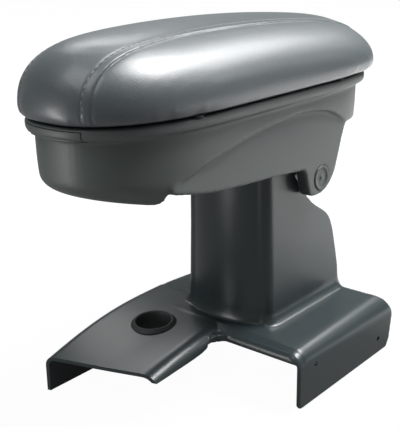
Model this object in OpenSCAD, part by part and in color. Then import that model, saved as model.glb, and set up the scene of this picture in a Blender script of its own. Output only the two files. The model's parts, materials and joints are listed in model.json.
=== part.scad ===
// Car centre armrest with a storage box, on an adapter that straddles the console.
// Millimetres. The car's front is -X, its near side here is -Y, and +Z is up.
// The origin is the middle of the overall footprint, on the ground under the flanges.

/* [Cushion] */
// Length of the padded lid
cushion_l = 330; // [300:1:350]
// Width of the padded lid
cushion_w = 134; // [126:1:144]
// Height of the crown above the cushion's lower edge
cushion_h = 50; // [40:1:60]
// Height of the widest line above the lower edge
cushion_belly = 5; // [3:0.5:8]
// How far the lower edge is tucked in
cushion_tuck = 4; // [2:0.5:6]
// Thickness of the board that the cover is stapled to
board_t = 6; // [4:0.5:9]
// Thickness of the cover where it wraps under the board
wrap_t = 1; // [0.8:0.1:1.5]

/* [Storage box] */
// Height of the box's rim above the ground
rim_z = 237.5; // [232:0.5:245]
// Air between the rim and the cushion
lid_gap = 1.8; // [1.5:0.1:3]
// Wall of the box
box_t = 3; // [2.5:0.1:3.5]
// Overhang of the lid past the rim band, sides and front
band_overhang = 4.5; // [3:0.5:6]
// Overhang of the lid past the rim band at the rear
rear_overhang = 12; // [11:0.5:14]
// How far the rim band stands out from the wall
band_out = 5.5; // [5:0.5:7]
// Height of the rim band
band_h = 8.5; // [8.5:0.5:12]
// Depth from the rim to the underside of the front tray
tray_depth = 53.5; // [50:0.5:60]
// Depth from the rim to the underside of the rear floor
floor_depth = 47.5; // [44:0.5:50]
// How far the lower rear cheeks are set in behind the curved step
cheek_in = 5; // [4:0.5:6]
// Wall of the cheeks and ears
cheek_t = 3; // [2.5:0.1:3.5]
// Radius of the hanging ears
ear_r = 29.5; // [28.5:0.5:31]
// Thickness of the ears, across the car
ear_w = 10.5; // [8:0.5:11]

/* [Tilt pivot] */
// Distance of the tilt pivot behind the middle of the lid
pivot_x = 75; // [70:1:80]
// Height of the tilt pivot
pivot_z = 160; // [157:1:163]
// Diameter of the axle
axle_d = 10; // [8:0.5:12]
// Radial running clearance of the axle in its bushes
run_gap = 0.06; // [0.03:0.01:0.1]
// Thickness of the bracket's steel sheet
bracket_t = 2.5; // [2:0.1:3]
// Width over the bracket's cheeks
bracket_w = 44; // [38:1:46]
// Thickness of the yoke's top plate
yoke_t = 3; // [2:0.5:4]
// Diameter of the round caps on the ears
cap_d = 21; // [19:0.5:23]
// Height of the rubber stop under the box
stop_h = 9.7; // [8:0.1:12]

/* [Pillar] */
// Width of the pillar
pillar_w = 80; // [76:1:80]
// Bow of the pillar's front face
pillar_bow = 12; // [8:1:14]
// Where the pillar's front corners lie at its foot
pillar_front = 12; // [10:1:16]
// How far the front leans back towards the top
pillar_lean = 6; // [2:1:8]
// Flare of the pillar's foot
foot_flare = 8; // [5:1:10]

/* [Console adapter] */
// Width of the saddle over the console
saddle_w = 176; // [168:1:190]
// Length of the saddle at the ground
saddle_l = 138; // [132:1:146]
// Where the saddle's front edge lies
saddle_front = -6; // [-10:1:-2]
// Height of the saddle's top
saddle_h = 46; // [44:1:50]
// Radius along the saddle's long edges
saddle_r = 14; // [10:1:18]
// Depth of the lip along the saddle's front
lip_h = 8; // [6:1:10]
// Wall of the adapter
shell_t = 3; // [2.5:0.1:3.5]
// Width of the tongue that runs forward on the far side
tongue_w = 100; // [90:1:106]
// Reach of the tongue ahead of the saddle on its far side
tongue_l = 94; // [84:1:100]
// How much the tongue's front edge runs back towards the near side
tongue_skew = 21; // [10:1:30]
// Height of the tongue's top at its front edge
tongue_h = 29.5; // [27:0.5:33]
// Diameter of the screw holes in the flanges
flange_hole_d = 4.2; // [3.5:0.1:5]

/* [Socket collar] */
// Bore of the collar that takes a round power socket
socket_d = 28; // [24:0.5:29]
// Outside diameter of the collar
collar_d = 38; // [36:0.5:42]
// Height of the collar above the tongue
collar_h = 3.5; // [2:0.5:5]

/* [Lid hinge and latch] */
// Diameter of the lid's hinge pin
pin_d = 4; // [3:0.5:4.5]
// Outside radius of the hinge knuckles
knuckle_r = 4.8; // [4.2:0.1:5]
// Travel of the latch button
latch_travel = 3; // [2:0.5:3]
// Width of the latch button
button_w = 50; // [44:1:54]

/* [Hidden] */
$fn = 48;
eps = 0.01;
far = 400;
outline_n = 48;

plastic = [0.23, 0.25, 0.26];
base_plastic = [0.19, 0.22, 0.23];
leather = [0.30, 0.32, 0.34];
steel = [0.62, 0.63, 0.65];
black = [0.07, 0.07, 0.08];

// Lid and box outlines, all worked out from the cushion
cushion_z = rim_z + lid_gap;
cushion_front = -cushion_l / 2;
cushion_rear = cushion_l / 2;
widest_x = cushion_front + 136;
band_front = cushion_front + band_overhang;
band_rear = cushion_rear - rear_overhang;
band_half = cushion_w / 2 - band_overhang;
wall_front = band_front + band_out;
wall_rear = band_rear - band_out;
wall_half = band_half - band_out;
tray_z = rim_z - tray_depth;
floor_z = rim_z - floor_depth;
floor_top = floor_z + box_t;
cheek_half = wall_half - cheek_in;
cheek_inner = cheek_half - cheek_t;
cheek_front = wall_front + 57;
cheek_rear = pivot_x + 36;
floor_rear = cheek_rear - 5;

// Tilt hinge stack, counted outwards from the middle plane
bracket_half = bracket_w / 2;
bush_flange_t = 1.5;
bush_r = axle_d / 2 + 2;
bush_flange_r = bush_r + 3;
washer_y = bracket_half + bush_flange_t + 0.2;
washer_t = 1;
yoke_y = washer_y + washer_t + 0.2;
yoke_cheek_t = 2.5;
yoke_half = yoke_y + yoke_cheek_t;
yoke_r = axle_d / 2 + 7;
yoke_front = pivot_x - 31;
yoke_rear = pivot_x + 31;
yoke_screw_x = 23;
yoke_screw_y = yoke_half - 9.5;
boss_r = bush_r + 8;
ear_x = pivot_x - 5;
ear_z = pivot_z + 16;
ear_inner = cheek_half - ear_w;

// Pillar and bracket
pillar_half = pillar_w / 2;
pillar_top = floor_z - stop_h - 0.3;
stop_x = pivot_x - 46;
slot_half = bracket_half + 1.5;
foot_plate_t = 3;
foot_plate_z = saddle_h - shell_t - 10;
foot_front = 25;
foot_rear = 117;
foot_half = 54;
foot_screw_y = foot_half - 8;
foot_boss_r = 6;
foot_screw_x = [foot_front + 10, foot_rear - 10];

// Adapter
saddle_half = saddle_w / 2;
saddle_rear = saddle_front + saddle_l;
tongue_front = saddle_front - tongue_l;
tongue_near = saddle_half - tongue_w;
tongue_mid_x = (saddle_front + tongue_front) / 2;
tongue_mid_h = tongue_h + (saddle_h - tongue_h) * 0.67;
tongue_far_r = 6;
tongue_root_x = saddle_front + 10;
tongue_root_h = saddle_h - 1;
tongue_slope = atan((tongue_root_h - tongue_mid_h) / (tongue_root_x - tongue_mid_x));
lip_z = saddle_h - lip_h;
collar_x = saddle_front - 20;
collar_y = saddle_half - tongue_w / 2 + 4;
collar_z = tongue_root_h - (tongue_root_x - collar_x) * tan(tongue_slope);
collar_barrel_r = collar_d / 2 - 2;
collar_barrel_l = 12;
flange_holes = [[saddle_front + 23, 30], [saddle_front + 122, 13]];

// Lid hinge and latch
pin_x = band_rear + 6;
pin_z = rim_z - 4;
knuckle_in = 9;
knuckle_mid = 22;
knuckle_out = 30;
knuckle_gap = 0.4;
panel_t = 3;
panel_z = cushion_z - panel_t;
panel_gap = 1;
panel_pad_half = wall_half - 22.5;
latch_t = 3;
latch_z = rim_z - 8.2;
shelf_half = 30;
latch_half = 20;
shelf_t = 3;
hook_x = wall_front + 10;
hook_t = 2.5;
hook_half = 7;
latch_gap = 0.3;
bar_x = hook_x + hook_t + 1.4;
bar_w = 7;
spring_l = 12;
spring_r = 2.4;
stop_wall_x = bar_x + bar_w + spring_l;
rail_y = latch_half + 1;
latch_cover_z = latch_z + latch_t + latch_gap;
latch_cover_t = 1.8;
buffer_x = 85;
buffer_r = 3.5;
buffer_y = wall_half - box_t + (band_half - wall_half + box_t) / 2;
lid_screw_x = [-90, 0, 90];
lid_screw_y = panel_pad_half - 9.5;
lid_screw_bite = 5;
foot_screw_bite = 6;
yoke_screw_l = 10;
yoke_screw_r = 1.95;
yoke_head_r = 3.8;

// Outline seen from above: rounder at the front than at the rear, with gently bowed sides
function plan_point(a, front, rear, half, mid) =
    let (c = cos(a), s = sin(a), ahead = c < 0)
    [mid + (ahead ? mid - front : rear - mid) * sign(c) * pow(abs(c), ahead ? 0.62 : 0.36),
     half * sign(s) * pow(abs(s), ahead ? 0.88 : 0.41)];
function plan(front, rear, half, mid = widest_x) =
    [for (i = [0:outline_n - 1]) plan_point(360 * (i + 0.5) / outline_n, front, rear, half, mid)];

// The curved step on the box's side, as one Bezier curve seen from the side
function bezier(p, t) = pow(1 - t, 3) * p[0] + 3 * pow(1 - t, 2) * t * p[1]
    + 3 * (1 - t) * t * t * p[2] + pow(t, 3) * p[3];
step_curve = [[wall_front + 47, tray_z], [wall_front + 85, tray_z + 32],
              [pivot_x - 15, rim_z + 3.5], [wall_rear - 12, rim_z - 38.5]];

// A slab with the given outline, thin unless it says otherwise, for lofting
module slab(z, front, rear, half, t = eps) {
    translate([0, 0, z]) linear_extrude(t) polygon(plan(front, rear, half));
}

// The same slab, inset evenly from the box's wall
module wall_slab(z, inset, nose = 0) {
    slab(z, wall_front + inset + nose, wall_rear - inset, wall_half - inset);
}

// A 2D side view drawn in X and Z, extruded across the car from y0 to y1
module across(y0, y1) {
    translate([0, y1, 0]) rotate([90, 0, 0]) linear_extrude(y1 - y0) children();
}

// The same piece on both sides of the middle plane
module both_sides() {
    children();
    mirror([0, 1, 0]) children();
}

// A round bar across the car
module bar(x, z, r, y0, y1) {
    translate([x, y1, z]) rotate([90, 0, 0]) cylinder(r = r, h = y1 - y0);
}

// A countersunk screw pointing down, with its head's top at the origin
module screw_down(r, head_r, l) {
    translate([0, 0, -l]) cylinder(r = r, h = l - (head_r - r) + eps);
    translate([0, 0, r - head_r]) cylinder(r1 = r, r2 = head_r, h = head_r - r);
}

// Saddle seen from the front, inset by d
module saddle_section(d) {
    near_r = saddle_r - d;
    far_r = tongue_far_r - d;
    w = saddle_half - d;
    h = saddle_h - d;
    translate([-w, -1]) square([2 * w, h - near_r + 1]);
    translate([-w + near_r, 0]) square([2 * w - near_r - far_r, h]);
    translate([0, -1]) square([w, h - far_r + 1]);
    translate([near_r - w, h - near_r]) circle(near_r);
    translate([w - far_r, h - far_r]) circle(far_r);
}

// Saddle seen from the side, with its sloping and rounded rear corner
module saddle_side() {
    polygon([[saddle_front, 6], [saddle_front + 1.5, 2], [saddle_front + 5, 0],
             [saddle_rear - 7, 0], [saddle_rear - 2, 1.5], [saddle_rear + 1, 6],
             [saddle_rear + 6, saddle_h - 22], [saddle_rear + 5, saddle_h - 15],
             [saddle_rear, saddle_h - 4], [saddle_rear - 3, saddle_h - 1],
             [saddle_rear - 8, saddle_h + 1], [saddle_front, saddle_h + 1]]);
}

// One section of the tongue at x, with height h, inset by d
module tongue_section(x, h, d) {
    near_r = saddle_r - d;
    far_r = tongue_far_r - d;
    translate([x, 0, 0]) rotate([90, 0, 90]) linear_extrude(eps) union() {
        translate([tongue_near + d, -1]) square([tongue_w - 2 * d, h - d - near_r + 1]);
        translate([tongue_near + d + near_r, -1]) square([tongue_w - 2 * d - near_r - far_r, h - d + 1]);
        translate([tongue_near + d + near_r, h - d - near_r]) circle(near_r);
        translate([saddle_half - d - far_r, h - d - far_r]) circle(far_r);
    }
}

module tongue_block(d) {
    hull() {
        tongue_section(tongue_root_x, tongue_root_h, d);
        tongue_section(tongue_mid_x, tongue_mid_h, d);
        tongue_section(tongue_front - 6, tongue_h - 1.5, d);
    }
}

// Pillar seen from above: a bowed front face, rounded corners and flat sides
function arc(cx, cy, r, a0, a1, n) = [for (i = [0:n]) let (a = a0 + (a1 - a0) * i / n)
    [cx + r * cos(a), cy + r * sin(a)]];
function pillar_plan(front, rear, half, r) =
    let (chord = half - r, bow_r = (chord * chord + pillar_bow * pillar_bow) / (2 * pillar_bow),
         cx = front - pillar_bow + bow_r, a = asin(chord / bow_r))
    concat(arc(cx, 0, bow_r, 180 + a, 180 - a, 10), arc(front + r, half - r, r, 150, 90, 4),
           arc(rear - r, half - r, r, 90, 0, 4), arc(rear - r, r - half, r, 0, -90, 4),
           arc(front + r, r - half, r, -90, -150, 4));

module pillar_slab(z, front, rear, half, r) {
    translate([0, 0, z]) linear_extrude(eps) polygon(pillar_plan(front, rear, half, r));
}

// Pillar seen from the side: clear of the ears above, with a shoulder behind, inset by d
module pillar_side(d) {
    top = pillar_top - d;
    polygon([[-far, -far], [-far, top], [pivot_x - 35 - d, top], [pivot_x - 26 - d, pivot_z + 3],
             [pivot_x - 17 - d, pivot_z - 10 - d], [pivot_x - 9 - d, pivot_z - 19 - d],
             [pivot_x - 3, pivot_z - 26 - d], [pivot_x + 5, pivot_z - 31 - d],
             [pivot_x + 15, pivot_z - 35 - d], [pivot_x + 27 - d, pivot_z - 40 - d],
             [pivot_x + 34 - d, pivot_z - 44 - d], [pivot_x + 38 - d, pivot_z - 50 - d],
             [pivot_x + 47 - d, pivot_z - 80], [pivot_x + 56 - d, saddle_h - 3], [pivot_x + 57 - d, -far]]);
}

module pillar_block(d) {
    rear = pivot_x + 58 - d;
    half = pillar_half - d;
    intersection() {
        hull() {
            pillar_slab(saddle_h - 8 - 2 * d, pillar_front + d, rear, half, 9 - d);
            pillar_slab(pillar_top + 5, pillar_front + pillar_lean + d, rear, half - 1, 9 - d);
        }
        across(-far, far) pillar_side(d);
    }
}

// The pillar's foot spreads out into the saddle and tongue
module pillar_foot() {
    rear = pivot_x + 55;
    hull() {
        pillar_slab(saddle_h - 3, pillar_front - foot_flare, rear + 2, pillar_half + foot_flare, 14);
        pillar_slab(saddle_h + 1, pillar_front - 3, rear, pillar_half + 3, 11);
        pillar_slab(saddle_h + foot_flare, pillar_front, rear - 3, pillar_half, 9);
    }
}

// Tall block ahead of the tongue's slanting front edge
module ahead_of_tongue() {
    translate([0, 0, -far / 2]) linear_extrude(far) polygon([[tongue_front, saddle_half + 1],
        [tongue_front + tongue_skew, tongue_near - 1], [tongue_front + tongue_skew, tongue_near - 60],
        [-far, tongue_near - 60], [-far, saddle_half + 1]]);
}

module console_adapter() {
    waist_r = 14;
    color(base_plastic) difference() {
        union() {
            intersection() {
                translate([saddle_front, 0, 0]) rotate([90, 0, 90])
                    linear_extrude(saddle_l + 8) saddle_section(0);
                across(-far, far) saddle_side();
            }
            intersection() {
                tongue_block(0);
                translate([-far, -far, 0]) cube([2 * far, 2 * far, far]);
            }
            // Fillet at the waist between tongue and saddle
            translate([saddle_front + eps - waist_r, tongue_near + eps - waist_r, lip_z]) difference() {
                linear_extrude(lip_h - 4) square(waist_r);
                translate([0, 0, -1]) cylinder(r = waist_r, h = lip_h);
            }
            pillar_block(0);
            pillar_foot();
        }
        // The saddle's hollow, open at the rear and below the front lip
        translate([saddle_front + shell_t, 0, 0]) rotate([90, 0, 90])
            linear_extrude(saddle_l + 20) saddle_section(shell_t);
        translate([saddle_front - 1, -saddle_half + shell_t, -1])
            cube([shell_t + 2, saddle_w - 2 * shell_t, lip_z + 1]);
        tongue_block(shell_t);
        pillar_block(shell_t);
        ahead_of_tongue();
        // The tongue's near flange stops well above the ground, and higher at the waist
        across(tongue_near - 1, tongue_near + 30) polygon([[-far, -far], [-far, -16],
            [tongue_front + tongue_skew, lip_z - 12], [saddle_front - waist_r, lip_z],
            [saddle_front + eps, lip_z], [saddle_front + eps, -far]]);
        // Slot for the bracket in the pillar's sloping top
        translate([pivot_x - 38, -slot_half, pivot_z - 60]) cube([62, 2 * slot_half, 76]);
        // Seat of the socket collar
        translate([collar_x, collar_y, collar_z]) rotate([0, -tongue_slope, 0])
            translate([0, 0, -collar_barrel_l]) cylinder(r = collar_barrel_r, h = 2 * collar_barrel_l);
        both_sides() for (p = flange_holes)
            bar(p[0], p[1], flange_hole_d / 2, saddle_half - 10, saddle_half + 5);
    }
    // Screw bosses under the saddle
    color(base_plastic) both_sides() for (x = foot_screw_x) difference() {
        translate([x, foot_screw_y, foot_plate_z + foot_plate_t])
            cylinder(r = foot_boss_r, h = saddle_h - shell_t - foot_plate_z - foot_plate_t + 0.5);
        translate([x, foot_screw_y, foot_plate_z + foot_plate_t - 1]) cylinder(r = 2, h = 7);
    }
}

module socket_collar() {
    r = socket_d / 2;
    color(black) translate([collar_x, collar_y, collar_z]) rotate([0, -tongue_slope, 0])
        rotate_extrude() polygon([[r, -collar_barrel_l], [collar_barrel_r, -collar_barrel_l],
            [collar_barrel_r, 0], [collar_d / 2, 0], [collar_d / 2, collar_h - 1],
            [collar_d / 2 - 1, collar_h], [r + 1, collar_h], [r, collar_h - 1]]);
}

// One cheek of the bracket, seen from the side
module bracket_cheek_side() {
    polygon([[foot_front + 5, foot_plate_z], [foot_rear - 9, foot_plate_z], [pivot_x + 24, pivot_z - 58],
             [pivot_x + boss_r - 1, pivot_z - 2], [pivot_x, pivot_z + boss_r - 4],
             [pivot_x - boss_r + 1, pivot_z - 2], [pivot_x - 26, pivot_z - 58]]);
    translate([pivot_x, pivot_z]) circle(boss_r);
}

module post_bracket() {
    web_rake = atan((pivot_x - 26 - foot_front - 5) / (pivot_z - 58 - foot_plate_z));
    color(steel) difference() {
        union() {
            both_sides() across(bracket_half - bracket_t, bracket_half) bracket_cheek_side();
            intersection() {
                across(-bracket_half, bracket_half) bracket_cheek_side();
                translate([foot_front + 5, -bracket_half, foot_plate_z]) rotate([0, web_rake, 0])
                    cube([bracket_t, bracket_w, (pivot_z - 58 - foot_plate_z) / cos(web_rake)]);
            }
            translate([foot_front, -foot_half, foot_plate_z])
                cube([foot_rear - foot_front, 2 * foot_half, foot_plate_t]);
        }
        bar(pivot_x, pivot_z, bush_r, -far / 2, far / 2);
        both_sides() for (x = foot_screw_x) translate([x, foot_screw_y, foot_plate_z - 1])
            cylinder(r = 2.25, h = foot_plate_t + 2);
    }
}

module bracket_screws() {
    color(steel) both_sides() for (x = foot_screw_x) translate([x, foot_screw_y, foot_plate_z]) {
        cylinder(r = 2, h = foot_plate_t + foot_screw_bite);
        translate([0, 0, -3]) cylinder(r = 4, h = 3);
    }
}

module pivot_bushes() {
    y0 = bracket_half - bracket_t;
    color("ivory") both_sides() difference() {
        union() {
            bar(pivot_x, pivot_z, bush_r, y0, bracket_half);
            bar(pivot_x, pivot_z, bush_flange_r, bracket_half, bracket_half + bush_flange_t);
        }
        bar(pivot_x, pivot_z, axle_d / 2 + run_gap, y0 - 1, bracket_half + 5);
    }
}

module tilt_stop() {
    color(black) translate([stop_x, 0, pillar_top]) cylinder(r = 9, h = stop_h);
}

// Region above the curved step, seen from the side, shifted inwards by d
module above_step(d) {
    translate([-d, d]) polygon(concat([for (i = [0:16]) bezier(step_curve, i / 16)],
        [[far, step_curve[3][1]], [far, far], [-far, far], [-far, step_curve[0][1] - 2 * d - 1],
         [step_curve[0][0], step_curve[0][1] - 2 * d - 1]]));
}

// Box body without its rim band, from the outside or inset to the inside
module box_body(d) {
    across(-far, far) above_step(d);
}

module box_loft(d) {
    b = d > 0 ? 1 : 0;
    hull() {
        wall_slab(rim_z - 2 + 4 * b, d);
        wall_slab(rim_z - 24, d + 0.3);
        wall_slab(rim_z - 37, d + 1, 0.5);
        wall_slab(rim_z - 45 + b, d + 2.2, 4);
        wall_slab(rim_z - 50 + 2 * b, d + 4.5, 10);
        wall_slab(tray_z + d, d + 9.5, 24);
    }
}

// Cheek and ear seen from the side, inset by d
module cheek_side(d) {
    polygon([[cheek_front + d, tray_z + 4 + d], [cheek_front + 16, tray_z + d],
             [cheek_front + 44, tray_z - 4.5 + d], [cheek_front + 74, tray_z - 6.5 + d],
             [pivot_x - 47, pivot_z + 13.3 + d], [pivot_x - 23 + d, pivot_z + 11.5 + d],
             [pivot_x - 15 + d, pivot_z - 11 + d], [ear_x, ear_z - ear_r + d],
             [ear_x + ear_r - d, ear_z], [cheek_rear - d, rim_z - 38], [cheek_rear - d, rim_z - band_h - 4],
             [cheek_front + d, rim_z - band_h - 4]]);
    intersection() {
        translate([ear_x, ear_z]) circle(ear_r - d);
        polygon([[pivot_x - 25 + d, pivot_z + 18], [pivot_x - 15 + d, pivot_z - 11],
                 [pivot_x - 10 + d, pivot_z - 40], [far, pivot_z - 40], [far, pivot_z + 18]]);
    }
}

module storage_box() {
    knuckle_block = pin_x - wall_rear + 2;
    color(plastic) difference() {
        union() {
            // Rim band with rounded edges
            hull() {
                slab(rim_z - band_h, band_front + 3, band_rear - 3, band_half - 3, band_h);
                slab(rim_z - band_h + 3, band_front, band_rear, band_half, band_h - 4.5);
                slab(rim_z - band_h + 1, band_front + 1, band_rear - 1, band_half - 1, band_h - 1);
            }
            intersection() {
                box_loft(0);
                box_body(0);
            }
            // Floor over the pivot, and its walls up to the rim
            translate([cheek_front - 3, -cheek_inner, floor_z])
                cube([20, 2 * cheek_inner, box_t]);
            translate([cheek_front + 4, -cheek_half, floor_z])
                cube([floor_rear - cheek_front - 4, 2 * cheek_half, floor_depth - band_h]);
            both_sides() across(cheek_inner, cheek_half) cheek_side(0);
            both_sides() across(ear_inner, cheek_inner + eps) difference() {
                cheek_side(0);
                cheek_side(cheek_t);
                translate([cheek_front - 10, floor_z - far])
                    square([pivot_x - 23 - cheek_front + 10, 2 * far]);
                translate([-far, floor_z]) square(2 * far);
            }
            // Knuckles for the lid's hinge pin
            for (span = [[-knuckle_in, knuckle_in], [knuckle_mid, knuckle_out],
                         [-knuckle_out, -knuckle_mid]]) {
                bar(pin_x, pin_z, knuckle_r, span[0], span[1]);
                translate([wall_rear - 2, span[0], pin_z - knuckle_r])
                    cube([knuckle_block, span[1] - span[0], knuckle_r + 1.5]);
            }
        }
        // The hollow of the front tray and upper box, then the rear well
        intersection() {
            box_loft(box_t);
            box_body(box_t);
        }
        translate([cheek_front - 1, -cheek_inner, floor_top])
            cube([floor_rear - cheek_front + 1 - cheek_t, 2 * cheek_inner, far]);
        // Notches for the lid's hinge arms, and the pin's bore
        both_sides() translate([wall_rear - 8, knuckle_in + 0.1, panel_z - 0.5])
            cube([far, knuckle_mid - knuckle_in - 0.2, far]);
        bar(pin_x, pin_z, pin_d / 2 + 0.02, -far / 2, far / 2);
        // Caps in the ears and screws in the floor
        both_sides() bar(pivot_x, pivot_z, cap_d / 2 - 1, ear_inner, cheek_half + 1);
        both_sides() for (s = [-1, 1]) translate([pivot_x + s * yoke_screw_x, yoke_screw_y, floor_top])
            screw_down(yoke_screw_r, yoke_head_r, 20);
        // Pocket in the rim band for the latch button, and the slot behind it
        difference() {
            translate([-far, -button_w / 2 - 0.4, latch_z - 0.8])
                cube([far, button_w + 0.8, 7.4]);
            translate([0, 0, latch_z - 5]) linear_extrude(20)
                polygon(plan(wall_front + 0.2, wall_rear, wall_half - 0.2));
            translate([-100, -far, 0]) cube([far, 2 * far, far]);
        }
        translate([wall_front - 2, -latch_half - 0.4, latch_z - latch_gap])
            cube([latch_half, 2 * latch_half + 0.8, latch_t + 2 * latch_gap]);
        both_sides() for (s = [-1, 1]) translate([s * buffer_x, buffer_y, rim_z - 3])
            cylinder(r = 1.5, h = 5);
    }
    latch_shelf();
}

// Shelf inside the front wall that the latch button slides on
module latch_shelf() {
    shelf_z = latch_z - latch_gap - shelf_t;
    rail_h = shelf_t + latch_t + 2 * latch_gap;
    color(plastic) intersection() {
        difference() {
            union() {
                translate([wall_front, -shelf_half, shelf_z])
                    cube([stop_wall_x + 3 - wall_front, 2 * shelf_half, shelf_t]);
                both_sides() translate([wall_front, rail_y, shelf_z])
                    cube([stop_wall_x + 3 - wall_front, shelf_half - rail_y, rail_h]);
                translate([stop_wall_x, -rail_y - 1, shelf_z]) cube([3, 2 * rail_y + 2, rail_h]);
            }
            translate([hook_x - 1.5, -hook_half - 2, shelf_z - 1])
                cube([9.5, 2 * hook_half + 4, shelf_t + 2]);
            translate([bar_x + 1, 0, latch_z + latch_t / 2]) rotate([0, 90, 0])
                cylinder(r = spring_r + 0.4, h = stop_wall_x - bar_x - 1);
            latch_screw_places() translate([0, 0, -6]) cylinder(r = 1.2, h = 20);
        }
        translate([0, 0, shelf_z - 5]) linear_extrude(30)
            polygon(plan(wall_front + 1.5, wall_rear, wall_half - 1.5));
    }
}

module latch_screw_places() {
    both_sides() translate([stop_wall_x - 4, rail_y + 4.5, latch_z]) children();
}

module latch_cover() {
    color(black) difference() {
        intersection() {
            translate([wall_front, -shelf_half, latch_cover_z])
                cube([stop_wall_x + 3 - wall_front, 2 * shelf_half, latch_cover_t]);
            translate([0, 0, latch_cover_z - 1]) linear_extrude(10)
                polygon(plan(wall_front + box_t + 0.5, wall_rear, wall_half - box_t - 0.5));
        }
        translate([hook_x - 1.5, -hook_half - 2, latch_cover_z - 1])
            cube([9.5, 2 * hook_half + 4, latch_cover_t + 2]);
        // Channel over the coil spring
        translate([bar_x + 1, 0, latch_z + latch_t / 2]) rotate([0, 90, 0])
            cylinder(r = spring_r + 0.2, h = stop_wall_x - bar_x - 1);
        latch_screw_places() translate([0, 0, latch_cover_z + latch_cover_t - latch_z])
            screw_down(1.2, 2.4, 12);
    }
}

module latch_screws() {
    color(steel) latch_screw_places() translate([0, 0, latch_cover_z + latch_cover_t - latch_z])
        screw_down(1.2, 2.4, 7);
}

module latch_button() {
    pad_z = latch_z - 0.3;
    color(plastic) {
        // Curved pad, flush with the rim band
        difference() {
            translate([0, 0, pad_z]) linear_extrude(6.4) intersection() {
                polygon(plan(band_front, band_rear, band_half));
                translate([-far, -button_w / 2]) square([far - 100, button_w]);
            }
            translate([0, 0, pad_z - 1]) linear_extrude(9)
                polygon(plan(band_front + 2.2, band_rear, band_half - 2.2));
        }
        difference() {
            intersection() {
                translate([band_front, -latch_half, latch_z])
                    cube([bar_x + bar_w - band_front, 2 * latch_half, latch_t]);
                translate([0, 0, latch_z - 1]) linear_extrude(10)
                    polygon(plan(band_front + 1, band_rear, band_half - 1));
            }
            translate([hook_x - latch_travel - 0.6, -hook_half - 2, latch_z - 1])
                cube([bar_x - hook_x + latch_travel + 0.6, 2 * hook_half + 4, latch_t + 2]);
        }
    }
}

// Compression spring behind the latch button
module latch_spring() {
    turns = 6;
    wire_r = 0.35;
    steps = 16;
    sides = 8;
    coil_r = spring_r - wire_r;
    rise = (spring_l - 4 * wire_r) / turns;
    rings = turns * steps;
    points = [for (i = [0:rings]) let (a = 360 * i / steps) for (k = [0:sides - 1])
        let (b = 360 * k / sides, r = coil_r + wire_r * cos(b))
        [r * cos(a), r * sin(a), 2 * wire_r + rise * i / steps + wire_r * sin(b)]];
    walls = [for (i = [0:rings - 1]) for (k = [0:sides - 1]) let (n = (k + 1) % sides)
        [i * sides + k, i * sides + n, (i + 1) * sides + n, (i + 1) * sides + k]];
    ends = [[for (k = [sides - 1:-1:0]) k], [for (k = [0:sides - 1]) rings * sides + k]];
    color(steel) translate([bar_x + bar_w, 0, latch_z + latch_t / 2]) rotate([0, 90, 0])
        polyhedron(points, concat(walls, ends), convexity = 10);
}

module box_mat() {
    color(black) translate([cheek_front + 14, -cheek_inner + 0.5, floor_top])
        cube([floor_rear - cheek_front - 14 - cheek_t - 0.5, 2 * cheek_inner - 1, 2]);
}

module hinge_yoke() {
    plate_z = floor_z - yoke_t;
    color(steel) difference() {
        union() {
            translate([yoke_front, -yoke_half, plate_z])
                cube([yoke_rear - yoke_front, 2 * yoke_half, yoke_t]);
            both_sides() across(yoke_y, yoke_half) {
                polygon([[pivot_x - 23, floor_z - 1], [pivot_x - yoke_r, pivot_z],
                         [pivot_x + yoke_r, pivot_z], [pivot_x + 23, floor_z - 1]]);
                translate([pivot_x, pivot_z]) circle(yoke_r);
            }
        }
        bar(pivot_x, pivot_z, axle_d / 2 + 0.03, -far / 2, far / 2);
        both_sides() for (s = [-1, 1]) translate([pivot_x + s * yoke_screw_x, yoke_screw_y, plate_z - 1])
            cylinder(r = yoke_screw_r, h = yoke_t + 2);
    }
}

module yoke_screws() {
    color(steel) both_sides() for (s = [-1, 1])
        translate([pivot_x + s * yoke_screw_x, yoke_screw_y, floor_top])
            screw_down(yoke_screw_r, yoke_head_r, yoke_screw_l);
}

module pivot_axle() {
    color(steel) {
        bar(pivot_x, pivot_z, axle_d / 2, -yoke_half - 1, yoke_half + 7);
        translate([pivot_x, -yoke_half, pivot_z]) rotate([90, 0, 0])
            cylinder(r = axle_d - 0.5, h = 6, $fn = 6);
    }
}

module axle_nut() {
    color(steel) translate([pivot_x, yoke_half + 6.5, pivot_z]) rotate([90, 0, 0]) difference() {
        cylinder(r = axle_d - 0.5, h = 6.5, $fn = 6);
        translate([0, 0, -1]) cylinder(r = axle_d / 2, h = 9);
    }
}

module spring_washers() {
    color(steel) both_sides() difference() {
        bar(pivot_x, pivot_z, axle_d / 2 + 4, washer_y + 0.1, washer_y + washer_t + 0.1);
        bar(pivot_x, pivot_z, axle_d / 2 + 0.05, washer_y - 1, washer_y + washer_t + 2);
    }
}

module pivot_cap() {
    r = cap_d / 2;
    color(plastic) difference() {
        union() {
            bar(pivot_x, pivot_z, r - 1, cheek_inner - 1, cheek_half);
            bar(pivot_x, pivot_z, r, cheek_half, cheek_half + 1.2);
        }
        bar(pivot_x, pivot_z, r - 3.5, cheek_half - 0.6, cheek_half + 3);
        bar(pivot_x, pivot_z, r - 3, cheek_inner - 3, cheek_half - 2);
    }
}

module pivot_cap_left() {
    mirror([0, 1, 0]) pivot_cap();
}

module pivot_cap_right() {
    pivot_cap();
}

module lid_hinge_pin() {
    color(steel) bar(pin_x, pin_z, pin_d / 2, -knuckle_out - 0.5, knuckle_out + 0.5);
}

module rim_buffers() {
    color(black) both_sides() for (s = [-1, 1]) translate([s * buffer_x, buffer_y, rim_z]) {
        cylinder(r = buffer_r, h = lid_gap - 0.3);
        translate([0, 0, -3]) cylinder(r = 1.5, h = 3 + eps);
    }
}

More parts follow.
